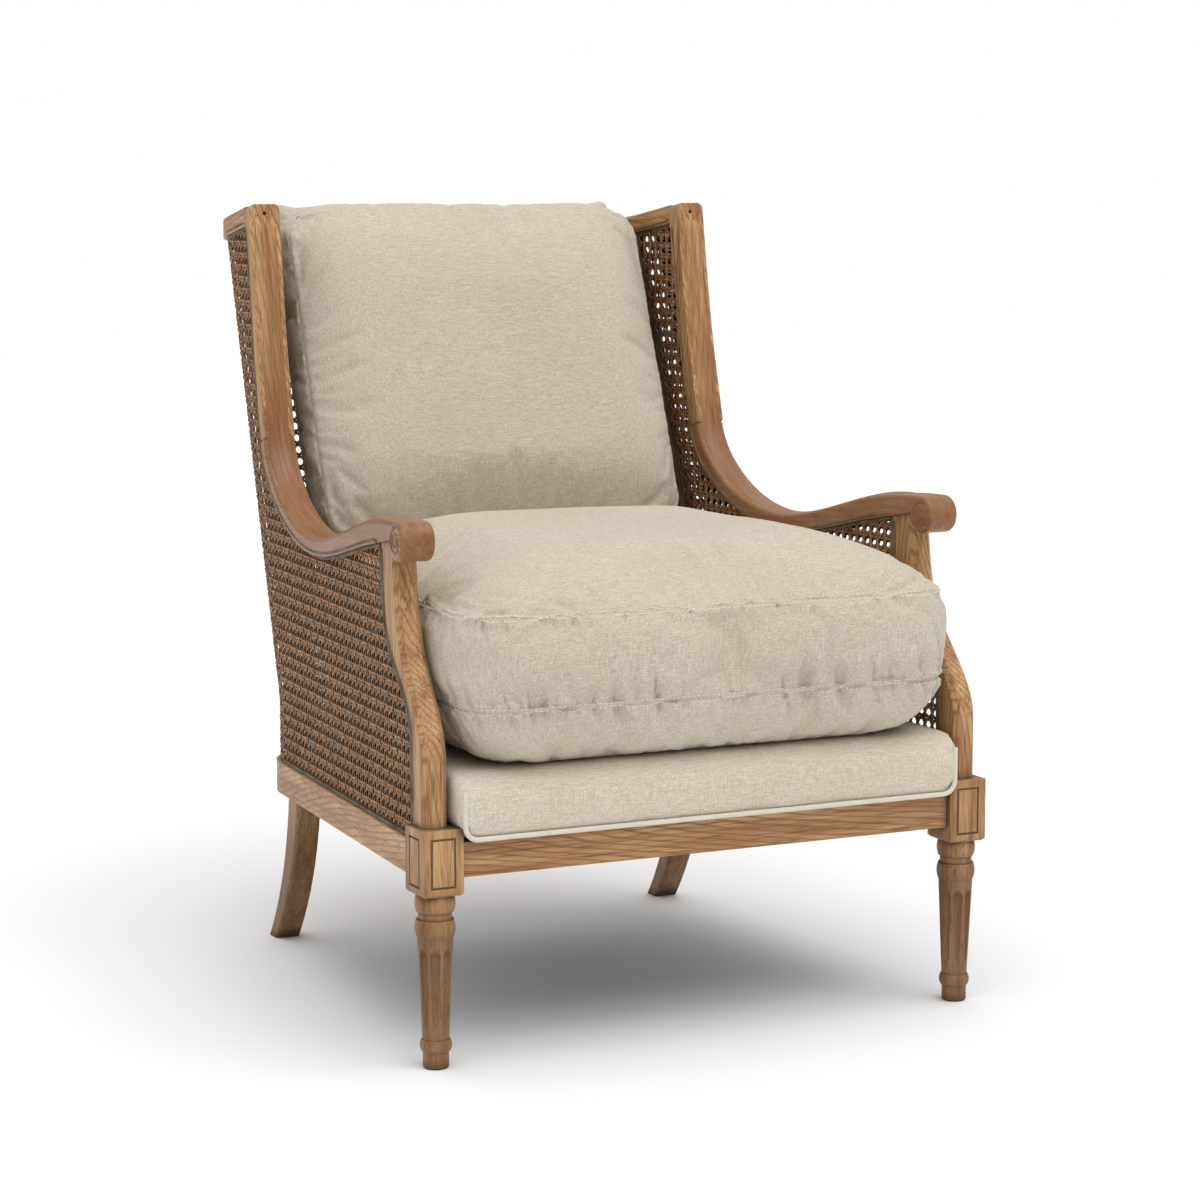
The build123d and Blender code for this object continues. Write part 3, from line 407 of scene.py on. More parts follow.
def line_tangents(points, closed=False):
    points = np.asarray(points, float)
    if closed:
        return unit(np.roll(points, -1, 0) - np.roll(points, 1, 0))
    return unit(np.gradient(points, axis=0))


def run_along(points):
    """Length along a line at each of its points."""
    return np.concatenate([[0], np.cumsum(np.linalg.norm(np.diff(points, axis=0), axis=1))])


def even_points(points, step):
    """Points at even steps along a line in a plane."""
    run = run_along(points)
    marks = np.arange(0, run[-1], step)
    return np.stack([np.interp(marks, run, points[:, k]) for k in range(2)], 1)


def circle(count):
    """Angles spread evenly over a turn."""
    return np.linspace(0, 2 * math.pi, count + 1)[:-1]


def tree_of(*meshes):
    """Search tree over the faces of meshes."""
    verts = []
    faces = []
    for mesh in meshes:
        start = len(verts)
        verts.extend(v.co.copy() for v in mesh.vertices)
        faces.extend(tuple(start + k for k in f.vertices) for f in mesh.polygons)
    return BVHTree.FromPolygons(verts, faces)


def welded(mesh):
    """Editable copy of a mesh with its doubled points joined."""
    work = bmesh.new()
    work.from_mesh(mesh)
    bmesh.ops.remove_doubles(work, verts=work.verts, dist=WELD)
    return work


# Cane: six-way weave laid strand by strand over each sheet
def side_point(s, z, inset, hand):
    """Point of the side at place s and height z, set in from its outer face."""
    x = SIDE_OFFSET - math.sin(SIDE_TAPER) * s - math.cos(SIDE_TAPER) * inset
    y = math.cos(SIDE_TAPER) * s - math.sin(SIDE_TAPER) * inset
    return np.array((hand * x, y, z))


def side_normal(hand):
    return np.array((hand * math.cos(SIDE_TAPER), math.sin(SIDE_TAPER), 0.0))


class FlatSheet:
    """Cane in the plane of a side: u runs along the side and v is the height."""

    margin = np.array((0.02, 0.005))
    cast_start = 0.03
    cast_reach = 0.06

    def __init__(self, node, inset, hand, shift):
        self.tree = tree_of(nodes[node].data)
        self.shift = shift
        self.inset = inset
        self.hand = hand
        self.out = side_normal(hand)
        spots = np.array([v.co for v in nodes[node].data.vertices])
        places = np.stack([spots[:, 1] / math.cos(SIDE_TAPER), spots[:, 2]], 1)
        self.low = places.min(0) - self.margin
        self.high = places.max(0) + self.margin

    def inside(self, u, v):
        start = Vector(self.point(u, v, self.cast_start)[0])
        return self.tree.ray_cast(start, Vector(-self.out), self.cast_reach)[0] is not None

    def point(self, u, v, level):
        return side_point(u + self.shift, v + self.shift, self.inset - level, self.hand), self.out

    def knots(self, along_u, fixed, low, high):
        return [low, high]


def corner_place(z):
    """Middle of the rear corner's arc at height z."""
    face = BACK_FACE + LEAN * max(0.0, z - RECLINE_START)
    y = face - CORNER_RADIUS
    return SIDE_OFFSET - math.tan(SIDE_TAPER) * y - CORNER_RADIUS / math.cos(SIDE_TAPER), y


class BackSheet:
    """Cane of the back: u runs round the plan from the middle and v is the height."""

    radius = CORNER_RADIUS - CANE_SETBACK - CANE_THICKNESS / 2
    low = (-0.46, RAIL_TOP - 0.005)
    high = (0.46, WING_TOP)

    def plan(self, u, v, level):
        centre_x, centre_y = corner_place(v)
        hand = 1.0 if u >= 0 else -1.0
        past = abs(u) - centre_x
        reach = self.radius + level
        if past <= 0:
            return np.array((u, centre_y + reach, v)), 0.0
        angle = past / self.radius
        place = (hand * (centre_x + reach * math.sin(angle)), centre_y + reach * math.cos(angle), v)
        return np.array(place), hand * angle

    def inside(self, u, v):
        centre_x, _ = corner_place(v)
        if abs(u) > centre_x + self.radius * (math.pi / 2 - SIDE_TAPER) or v < RAIL_TOP:
            return False
        y = self.plan(u, v, 0.0)[0][1]
        return v < WING_TOP - TOP_FALL * (y - STILE_TOP_Y) - TOP_RAIL_HEIGHT

    def point(self, u, v, level):
        place, angle = self.plan(u, v, level)
        rise = -LEAN * math.cos(angle) if v > RECLINE_START else 0.0
        return place, unit((math.sin(angle), math.cos(angle), rise))

    def knots(self, along_u, fixed, low, high):
        if along_u:
            centre_x, _ = corner_place(fixed)
            bend = [centre_x + self.radius * math.radians(a) for a in range(0, 90, 9)]
            inner = sorted([-b for b in bend] + bend)
        else:
            inner = [RECLINE_START - 0.012, RECLINE_START + 0.012] + list(np.arange(0.42, 0.95, 0.06))
        return [low] + [k for k in inner if low + 0.004 < k < high - 0.004] + [high]


def inside_runs(sheet, place, low, high, step):
    """Stretches of a line that lie on the sheet, each end found to a tenth of a millimetre."""
    marks = np.arange(low, high, step)
    state = [sheet.inside(*place(m)) for m in marks]
    runs = []
    start = None
    for i, now in enumerate(state):
        if now and start is None:
            start = marks[i] if i == 0 else edge_between(sheet, place, marks[i - 1], marks[i])
        if start is not None and (not now or i == len(state) - 1):
            end = marks[i] if now else edge_between(sheet, place, marks[i], marks[i - 1])
            if end - start > SHORTEST_RUN:
                runs.append((start - EDGE_REACH, end + EDGE_REACH))
            start = None
    return runs


def edge_between(sheet, place, outer, inner):
    for _ in range(6):
        middle = (outer + inner) / 2
        if sheet.inside(*place(middle)):
            inner = middle
        else:
            outer = middle
    return inner


def lay_strand(mesher, sheet, spots, width):
    """One flat strand through spots of (u, v, level)."""
    placed = [sheet.point(*spot) for spot in spots]
    points = np.array([p for p, _ in placed])
    normals = np.array([n for _, n in placed])
    sides = unit(np.cross(normals, line_tangents(points))) * (width / 2)
    up = normals * (STRAND_DEPTH / 2)
    rings = [(p - s, p - n, p + s, p + n) for p, s, n in zip(points, sides, up)]
    mesher.tube(rings)


def crossings(low, high, spacing, offset):
    """Marks of a strand at its ends and at each strand that it crosses."""
    first = math.ceil((low + END_MARGIN) / spacing - offset)
    last = math.floor((high - END_MARGIN) / spacing - offset)
    return [low] + [(m + offset) * spacing for m in range(first, last + 1)] + [high]


def lay_pairs(mesher, sheet, numbers, along_u, side, level):
    """One strand of each pair that runs along u, or up the sheet."""
    axis = 0 if along_u else 1
    for i in numbers:
        fixed = (i + 0.5) * CANE_PITCH + side * PAIR_HALF + rng.normal(0, STRAND_STRAY)

        def place(t):
            return (t, fixed) if along_u else (fixed, t)

        for low, high in inside_runs(sheet, place, sheet.low[axis], sheet.high[axis], CANE_PITCH / 3):
            if side > 0:
                swing = -WEAVE_SWING if along_u else WEAVE_SWING
                marks = crossings(low, high, CANE_PITCH, 0.5)
            else:
                swing = 0.0
                marks = sheet.knots(along_u, fixed, low, high)
            bend = [swing * math.cos(math.pi * (m / CANE_PITCH - 0.5 - i)) for m in marks]
            spots = [(*place(m), level * LAYER_STEP + b) for m, b in zip(marks, bend)]
            lay_strand(mesher, sheet, spots, STRAND_WIDTH)


def weave_cane(sheet):
    """Verticals and horizontals in pairs, then the two diagonals through them."""
    mesher = Mesher()
    p = CANE_PITCH
    columns = range(math.floor(sheet.low[0] / p), math.ceil(sheet.high[0] / p) + 1)
    rows = range(math.floor(sheet.low[1] / p), math.ceil(sheet.high[1] / p) + 1)
    for side, level in PAIR_LEVELS:
        lay_pairs(mesher, sheet, columns, False, side, level)
        lay_pairs(mesher, sheet, rows, True, side, level + ROW_LIFT)
    spread = len(columns) + len(rows)
    for slope in (1, -1):
        for k in range(-spread, spread + 1):
            start = (k + 0.5) * p

            def place(u):
                return u, slope * (u - start)

            for low, high in inside_runs(sheet, place, sheet.low[0], sheet.high[0], p / 3):
                spots = []
                for m in crossings(low, high, p / 2, 0):
                    level = slope * DIAGONAL_SWING * math.cos(2 * math.pi * m / p)
                    spots.append((*place(m), level))
                lay_strand(mesher, sheet, spots, DIAGONAL_WIDTH)
    return mesher


def outline_of(node, hand):
    """Ordered outline of a side sheet as points (s, z)."""
    work = welded(nodes[node].data)
    out = Vector(side_normal(hand))
    edges = {}
    for face in work.faces:
        if face.normal.dot(out) > 0.99:
            for edge in face.edges:
                edges[edge] = edges.get(edge, 0) + 1
    rim = [e for e, n in edges.items() if n == 1]
    links = {}
    for edge in rim:
        a, b = edge.verts
        links.setdefault(a, []).append(b)
        links.setdefault(b, []).append(a)
    first = rim[0].verts[0]
    loop = [first]
    before, here = None, first
    while True:
        ahead = [v for v in links[here] if v is not before][0]
        if ahead is first:
            break
        loop.append(ahead)
        before, here = here, ahead
    points = np.array([(v.co.y, v.co.z) for v in loop])
    points[:, 0] = (points[:, 0] + math.sin(SIDE_TAPER) * CANE_SETBACK) / math.cos(SIDE_TAPER)
    work.free()
    area = np.sum(points[:, 0] * np.roll(points[:, 1], -1) - np.roll(points[:, 0], -1) * points[:, 1])
    return points if area > 0 else points[::-1]


STRIP_WIDTH = 0.0048
STRIP_RISE = 0.0013
STRIP_LAP = 0.0006
STRIP_SHAPE = ((0.0, -0.4), (0.0, 0.55), (0.35, 1.0), (0.75, 0.8), (1.0, 0.3), (1.0, -0.4))
REAR_LINE = (BACK_FACE - CORNER_RADIUS * (1 - math.sin(SIDE_TAPER))) / math.cos(SIDE_TAPER)
SEAM_MARGIN = 0.001


def lay_strip(mesher, points, inset, hand, outward, closed):
    """Low half-round strip along the inside of an outline, on one face of the sheet."""
    tangent = line_tangents(points, closed)
    inward = np.stack([-tangent[:, 1], tangent[:, 0]], 1)
    rings = []
    for spot, aside in zip(points, inward):
        ring = []
        for across, rise in STRIP_SHAPE:
            s, z = spot + aside * (across * STRIP_WIDTH - STRIP_LAP)
            ring.append(side_point(s, z, inset - outward * rise * STRIP_RISE, hand))
        rings.append(ring)
    mesher.tube(rings, closed)


def open_at_seam(rim):
    """Outline of an outer sheet without its run along the rear seam."""
    on_seam = rim[:, 0] > REAR_LINE + LEAN * np.maximum(0, rim[:, 1] - RECLINE_START) - SEAM_MARGIN
    turn = int(np.argmax(on_seam & ~np.roll(on_seam, -1)))
    rim = np.roll(rim, -turn, 0)
    on_seam = np.roll(on_seam, -turn)[1:]
    return np.concatenate([rim[:1], rim[1:][~on_seam], rim[1:][on_seam][:1]])


for hand, label in HANDS:
    for layer, depth, outward in (("outer", CANE_SETBACK, 1), ("inner", INNER_INSET, -1)):
        node_name = f"{layer}_cane_{label}"
        middle = depth + CANE_THICKNESS / 2
        shift = CANE_PITCH / 2 if layer == "outer" else 0.0
        weave = weave_cane(FlatSheet(node_name, middle, hand, shift))
        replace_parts(weave.piece(f"cane_weave_{layer}_{label}", CANE[layer], "cane"), node_name)
        rim = outline_of(node_name, hand)
        if layer == "outer":
            rim = open_at_seam(rim)
        strip = Mesher()
        lay_strip(strip, rim, middle - outward * CANE_THICKNESS / 2, hand, outward, layer != "outer")
        strip.piece(f"cane_strip_{layer}_{label}", CANE_STRIP, "cane")

back_weave = weave_cane(BackSheet())
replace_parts(back_weave.piece("cane_weave_back", CANE["back"], "cane"), "back_cane")


# Carved beads that follow each side opening on the wood around it
BEAD_OFFSET = 0.0042
BEAD_RADIUS = 0.0014
BEAD_STEP = 0.005
BEAD_BREAK = 0.0075
BEAD_POINTS = 6
BEAD_CAST = {False: -0.05, True: 0.10}
BEAD_CAST_REACH = 0.09
BEADED = ("armrest", "arm_post", "wing_stile", "wing_top_rail")


def wood_tree(label):
    return tree_of(*(nodes[f"{stem}_{label}"].data for stem in BEADED))


def bead_runs(loop, tree, hand, from_inside):
    """Runs of points on the wood beside the opening, broken where the wood steps or ends."""
    tangent = line_tangents(loop, True)
    outside = loop - np.stack([-tangent[:, 1], tangent[:, 0]], 1) * BEAD_OFFSET
    out = Vector(side_normal(hand))
    runs = [[]]
    for s, z in outside:
        start = Vector(side_point(s, z, BEAD_CAST[from_inside], hand))
        hit = tree.ray_cast(start, out if from_inside else -out, BEAD_CAST_REACH)[0]
        spot = None if hit is None else np.array(hit)
        broken = spot is None or (runs[-1] and np.linalg.norm(spot - runs[-1][-1]) > BEAD_BREAK)
        if broken and runs[-1]:
            runs.append([])
        if spot is not None:
            runs[-1].append(spot)
    return [np.array(r) for r in runs if len(r) > BEAD_POINTS]


def add_beads():
    mesher = Mesher()
    for hand, label in HANDS:
        tree = wood_tree(label)
        for layer, from_inside in (("outer", False), ("inner", True)):
            rim = outline_of(f"{layer}_cane_{label}", hand)
            loop = even_points(np.concatenate([rim, rim[:1]]), BEAD_STEP)
            out = side_normal(hand) * (-1 if from_inside else 1)
            for run in bead_runs(loop, tree, hand, from_inside):
                side = unit(np.cross(out, line_tangents(run))) * BEAD_RADIUS
                rise = out * BEAD_RADIUS
                mesher.tube([
                    [spot + aside * math.cos(a) + rise * math.sin(a) for a in circle(8)]
                    for spot, aside in zip(run, side)
                ])
    mesher.piece("carved_beads", CANE_STRIP, "frame_wood")


add_beads()

# Rounded front of each wing, running on into the top of the arm without a break
WING_GUIDE = (
    (-0.292, 0.606), (-0.235, 0.612), (-0.130, 0.588), (-0.030, 0.571), (0.060, 0.580),
    (0.140, 0.616), (0.188, 0.676), (0.206, 0.740), (0.218, 0.800), (0.247, 0.962),
)
WING_STEP = 0.005
WING_CROWN = 0.0026
WING_STATIONS = np.linspace(0.0035, 0.0355, 13)
WING_CAST, WING_CAST_REACH = 0.06, 0.10
WING_EVEN = 4
WING_SUNK, WING_END_SUNK, WING_UNDER = 0.0004, 0.0016, 0.003
WING_END_ROWS = 3


def smooth_guide(points, step):
    """Even points on a rounded line through the guide."""
    points = np.asarray(points, float)
    for _ in range(4):
        here, ahead = points[:-1], points[1:]
        middles = np.stack([0.75 * here + 0.25 * ahead, 0.25 * here + 0.75 * ahead], 1)
        points = np.concatenate([points[:1], middles.reshape(-1, 2), points[-1:]])
    return even_points(points, step)


def wing_level(tree, guide, ahead, hand):
    """How far the wood stands ahead of each point of the guide, evened out along it."""
    reach = np.full((len(guide), len(WING_STATIONS)), np.nan)
    for i, (spot, out) in enumerate(zip(guide, ahead)):
        for k, inset in enumerate(WING_STATIONS):
            start = Vector(side_point(*(spot + out * WING_CAST), inset, hand))
            aim = Vector(side_point(*spot, inset, hand)) - start
            found = tree.ray_cast(start, aim, WING_CAST_REACH)
            reach[i, k] = np.nan if found[0] is None else WING_CAST - found[3]
    width = 2 * WING_EVEN + 1
    padded = np.pad(np.nanmedian(reach, 1), WING_EVEN, "edge")
    return np.convolve(padded, np.ones(width) / width, "valid")


def add_wing_front(hand, label):
    guide = smooth_guide(WING_GUIDE, WING_STEP)
    tangent = line_tangents(guide)
    ahead = np.stack([-tangent[:, 1], tangent[:, 0]], 1)
    level = wing_level(wood_tree(label), guide, ahead, hand)
    share = (WING_STATIONS - WING_STATIONS[0]) / (WING_STATIONS[-1] - WING_STATIONS[0])
    crown = WING_CROWN * (1 - (2 * share - 1) ** 2) ** 0.8 - WING_SUNK
    rows = np.arange(len(guide))
    ends = np.clip(np.minimum(rows, rows[::-1]) / WING_END_ROWS, 0, 1)
    verts, faces, spread = [], [], []
    across = len(WING_STATIONS)
    for upper in (True, False):
        for i, (spot, out) in enumerate(zip(guide, ahead)):
            for k, inset in enumerate(WING_STATIONS):
                rise = crown[k] * ends[i] - WING_END_SUNK * (1 - ends[i]) if upper else -WING_UNDER
                verts.append(side_point(*(spot + out * (level[i] + rise)), inset, hand))
                spread.append((inset + 0.2 + 0.3 * hand, i * WING_STEP))
    under = len(guide) * across
    for i in range(len(guide) - 1):
        for k in range(across - 1):
            a = i * across + k
            faces.append((a, a + 1, a + across + 1, a + across))
            faces.append((under + a, under + a + across, under + a + across + 1, under + a + 1))
        for a, b in ((i * across, (i + 1) * across), ((i + 2) * across - 1, (i + 1) * across - 1)):
            faces.append((a, b, under + b, under + a))
    for k in range(across - 1):
        last = (len(guide) - 1) * across + k
        faces.append((k + 1, k, under + k, under + k + 1))
        faces.append((last, last + 1, under + last + 1, under + last))
    if hand < 0:
        faces = [face[::-1] for face in faces]
    obj = add_piece(f"wing_front_{label}", verts, faces, SWEPT_WOOD, "frame")
    layer = obj.data.uv_layers.new(name="grain")
    corners = np.empty(len(obj.data.loops), np.int32)
    obj.data.loops.foreach_get("vertex_index", corners)
    layer.data.foreach_set("uv", np.array(spread, np.float32)[corners].ravel())


for hand, label in HANDS:
    add_wing_front(hand, label)

# Carved spirals on the faces of both scrolls
SPIRAL_TURNS = 1.9
SPIRAL_OUTER, SPIRAL_INNER = 0.0165, 0.0035
SPIRAL_BEAD, SPIRAL_THINNING, SPIRAL_RISE = 0.0017, 0.35, 0.75


def add_scroll_spirals():
    mesher = Mesher()
    for hand, _ in HANDS:
        for face_inset, outward in ((-ARM_PROUD, 1), (ARM_WIDTH - ARM_PROUD, -1)):
            rings = []
            for t in np.linspace(0, 1, 70):
                angle = math.pi * 0.5 + 2 * math.pi * SPIRAL_TURNS * t
                reach = SPIRAL_OUTER * (1 - t) + SPIRAL_INNER * t
                bead = SPIRAL_BEAD * (1 - SPIRAL_THINNING * t)
                ring = []
                for turn in circle(8):
                    r = reach + bead * math.cos(turn)
                    rise = bead * SPIRAL_RISE * math.sin(turn)
                    s = SCROLL_Y - r * math.cos(angle)
                    z = SCROLL_Z + r * math.sin(angle)
                    ring.append(side_point(s, z, face_inset - outward * rise, hand))
                rings.append(ring)
            mesher.tube(rings)
    mesher.piece("scroll_spirals", WOOD["arm"], "frame_wood")


add_scroll_spirals()

# Soft goods
VOXEL = 0.006
UP = np.array((0.0, 0.0, 1.0))
CLOTH_FRAMES = 20
CLOTH = {
    "quality": 5,
    "mass": 0.15,
    "tension_stiffness": 12,
    "compression_stiffness": 12,
    "shear_stiffness": 5,
    "bending_stiffness": 0.4,
    "pin_stiffness": 1.0,
    "use_pressure": True,
    "uniform_pressure_force": 4.0,
}
SEAM_HOLD = 0.006
SWELL = 0.0022


def bare_copy(node):
    mesh = nodes[node].data.copy()
    mesh.materials.clear()
    return mesh


def soft_copy(node, name):
    """Even mesh of a soft CAD solid, as a new object."""
    mesh = bare_copy(node)
    work = welded(mesh)
    work.to_mesh(mesh)
    work.free()
    obj = new_object(name, mesh)
    remesh = obj.modifiers.new("even", "REMESH")
    remesh.mode = "VOXEL"
    remesh.voxel_size = VOXEL
    bake_modifiers(obj)
    return obj


def finish_soft(obj, material, body, node):
    """Smooth shading, material and body of a padded cover, with the CAD part it stands for hidden."""
    obj.data.shade_smooth()
    dress(obj, material)
    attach(obj, body)
    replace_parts(obj, node)


def bake_modifiers(obj):
    """Puts what the modifiers make into the object's own mesh."""
    bpy.context.view_layer.update()
    depsgraph = bpy.context.evaluated_depsgraph_get()
    made = bpy.data.meshes.new_from_object(obj.evaluated_get(depsgraph))
    obj.modifiers.clear()
    old = obj.data
    obj.data = made
    made.name = obj.name
    bpy.data.meshes.remove(old)


def get_points(obj):
    flat = np.empty(len(obj.data.vertices) * 3, np.float32)
    obj.data.vertices.foreach_get("co", flat)
    return flat.reshape(-1, 3).astype(float)


def set_points(obj, points):
    obj.data.vertices.foreach_set("co", points.astype(np.float32).ravel())
    obj.data.update()


def get_normals(obj):
    flat = np.empty(len(obj.data.vertices) * 3, np.float32)
    obj.data.vertex_normals.foreach_get("vector", flat)
    return flat.reshape(-1, 3).astype(float)


def smooth_points(obj, rounds):
    work = bmesh.new()
    work.from_mesh(obj.data)
    axes = {f"use_axis_{axis}": True for axis in "xyz"}
    for _ in range(rounds):
        bmesh.ops.smooth_vert(work, verts=work.verts, factor=0.5, **axes)
    work.to_mesh(obj.data)
    work.free()
    obj.data.update()


def inflate(obj, pinned, cap, growth):
    """Cloth under pressure with its seams held; no point ends further than cap from where it began."""
    began = get_points(obj)
    group = obj.vertex_groups.new(name="seams")
    for index in np.nonzero(pinned > 0.02)[0]:
        group.add([int(index)], float(pinned[index]), "REPLACE")
    cloth = obj.modifiers.new("cloth", "CLOTH")
    for key, value in CLOTH.items():
        setattr(cloth.settings, key, value)
    cloth.settings.vertex_group_mass = group.name
    cloth.settings.shrink_min = -growth
    cloth.settings.effector_weights.gravity = 0
    cloth.collision_settings.use_collision = False
    cloth.point_cache.frame_start = 1
    cloth.point_cache.frame_end = CLOTH_FRAMES
    for number in range(1, CLOTH_FRAMES + 1):
        scene.frame_set(number)
    bake_modifiers(obj)
    obj.vertex_groups.clear()
    moved = get_points(obj) - began
    length = np.linalg.norm(moved, axis=1, keepdims=True)
    set_points(obj, began + moved * np.minimum(1.0, cap / np.maximum(length, 1e-9)))
    scene.frame_set(1)


def refine(obj):
    subdivide = obj.modifiers.new("fine", "SUBSURF")
    subdivide.levels = 1
    subdivide.render_levels = 1
    bake_modifiers(obj)


def rounded_loop(front, rear, front_half, rear_half, corner, step=0.004):
    """Closed outline of a cushion: a trapezium with round corners, as points (x, y)."""
    corners = np.array([(-front_half, front), (front_half, front), (rear_half, rear), (-rear_half, rear)])
    loop = []
    for i in range(4):
        here, before, after = corners[i], corners[i - 1], corners[(i + 1) % 4]
        a, b = unit(before - here), unit(after - here)
        half = math.acos(float(np.clip(a @ b, -1, 1))) / 2
        centre = here + unit(a + b) * corner / math.sin(half)
        start, end = here + a * corner / math.tan(half), here + b * corner / math.tan(half)
        first = math.atan2(*(start - centre)[::-1])
        sweep = (math.atan2(*(end - centre)[::-1]) - first + math.pi) % (2 * math.pi) - math.pi
        for t in np.linspace(0, 1, 16):
            angle = first + sweep * t
            loop.append(centre + corner * np.array((math.cos(angle), math.sin(angle))))
    return even_points(np.array(loop + loop[:1]), step)


def nearest_on(loop, points, chunk=4000):
    """Distance to a loop of points, and the length along it, for each point."""
    run = run_along(loop)
    far = np.empty(len(points))
    place = np.empty(len(points))
    for start in range(0, len(points), chunk):
        part = points[start:start + chunk]
        gaps = np.linalg.norm(part[:, None, :] - loop[None, :, :], axis=2)
        best = gaps.argmin(1)
        far[start:start + chunk] = gaps[np.arange(len(part)), best]
        place[start:start + chunk] = run[best]
    return far, place


def held_near(seams, points):
    """How firmly each point is held: fully at a seam, and less beside it."""
    held = np.zeros(len(points))
    for seam in seams:
        far, _ = nearest_on(seam, points)
        held = np.maximum(held, np.clip(1.3 - far / SEAM_HOLD, 0, 1))
    return held


def uneven(points, scale, offset=(0.0, 0.0, 0.0)):
    """Smooth noise at each point, from -1 to 1."""
    return np.array([noise.noise(Vector(p)) for p in points * np.array(scale) + np.array(offset)])


def ripple(place, pitch, seed):
    """Uneven waves along a seam, from -1 to 1."""
    return np.array([noise.noise(Vector((p / pitch, seed, 0.3))) for p in place])


SEAM_SLANT = 0.35
CREASE_PITCH, FOLD_PITCH, REACH_PITCH = 0.022, 0.034, 0.05
CREASE_SHARE, SHORTEST_CREASE = 0.30, 0.008
GROOVE_DEPTH, GROOVE_WIDTH = 0.0034, 0.0044


def sew(obj, loop3, axis, band, reach, depth, seed):
    """Draws a seam into the cover: a flat stitched band with a groove, and gathered creases beside it.

    Reach and depth each give a value for below and above the seam along the axis.
    """
    points = get_points(obj)
    normals = get_normals(obj)
    far, place = nearest_on(loop3, points)
    near = far < max(reach) * 2.2
    gap = far[near]
    side = points[near] @ axis - loop3[0] @ axis
    slanted = place[near] + SEAM_SLANT * side
    creases = np.clip(1 - np.abs(ripple(slanted, CREASE_PITCH, seed)) / CREASE_SHARE, 0, 1) ** 1.2
    folds = ripple(slanted, FOLD_PITCH, seed + 5)
    length = np.where(side > 0, reach[1], reach[0])
    length = length * (0.75 + 0.9 * ripple(place[near], REACH_PITCH, seed + 9))
    fade = np.exp(-(gap / np.maximum(length, SHORTEST_CREASE)) ** 2)
    fade *= np.clip((gap - 0.002) / (band * 0.8), 0, 1)
    strength = np.where(side > 0, depth[1], depth[0])
    push = np.zeros(len(points))
    push[near] += strength * fade * (1.1 * folds - 0.8 * creases)
    push[near] -= GROOVE_DEPTH * np.exp(-(gap / GROOVE_WIDTH) ** 2)
    set_points(obj, points + normals * push[:, None])


STITCH_ROWS = (-0.0027, 0.0027)
STITCH_PITCH, STITCH_LENGTH, STITCH_THICK = 0.0066, 0.0046, 0.0007
STITCH_SHAPE = ((0.0, 0.35, -0.3), (0.3, 1.0, 0.55), (0.7, 1.0, 0.55), (1.0, 0.35, -0.3))


def stitch_rows(mesher, obj, loop3, aside):
    """Short threads in rows beside a seam, laid on the finished cover."""
    tree = tree_of(obj.data)
    closed = np.concatenate([loop3, loop3[:1]])
    run = run_along(closed)
    for offset in STITCH_ROWS:
        for begin in np.arange(0, run[-1] - STITCH_LENGTH, STITCH_PITCH):
            hits, outs = [], []
            for share, _, _ in STITCH_SHAPE:
                at = begin + share * STITCH_LENGTH
                spot = np.array([np.interp(at, run, closed[:, k]) for k in range(3)])
                hit, out, _, _ = tree.find_nearest(Vector(spot + aside * offset))
                hits.append(np.array(hit))
                outs.append(np.array(out))
            rings = []
            for hit, out, along, (_, swell, lift) in zip(hits, outs, line_tangents(hits), STITCH_SHAPE):
                side = unit(np.cross(out, along))
                centre = hit + out * STITCH_THICK * lift
                thick = STITCH_THICK * swell
                rings.append([centre + (side * math.cos(a) + out * math.sin(a)) * thick for a in circle(4)])
            mesher.tube(rings)


# Seat cushion
SEAT_FRONT, SEAT_REAR = -0.453, 0.176
SEAT_FRONT_HALF, SEAT_REAR_HALF = 0.321, 0.286
SEAT_CORNER = 0.062
SEAT_SEAMS = (0.412, 0.519)
SEAT_BOTTOM = 0.3406
SEAT_FULLNESS = 0.004
SEAT_CREASES = (((0.034, 0.038), (0.0105, 0.0100)), ((0.028, 0.020), (0.0058, 0.0026)))
SEAT_SIDE_GAP, SEAT_REAR_SWELL = 0.006, 0.003
ARM_POST_REAR = -0.36


def level_normals(normals):
    """Normals turned level, so that the sides swell outward only."""
    level = normals * np.array((1.0, 1.0, 0.0))
    return unit(level) * np.clip(np.linalg.norm(level, axis=1, keepdims=True) * 1.4, 0, 1)


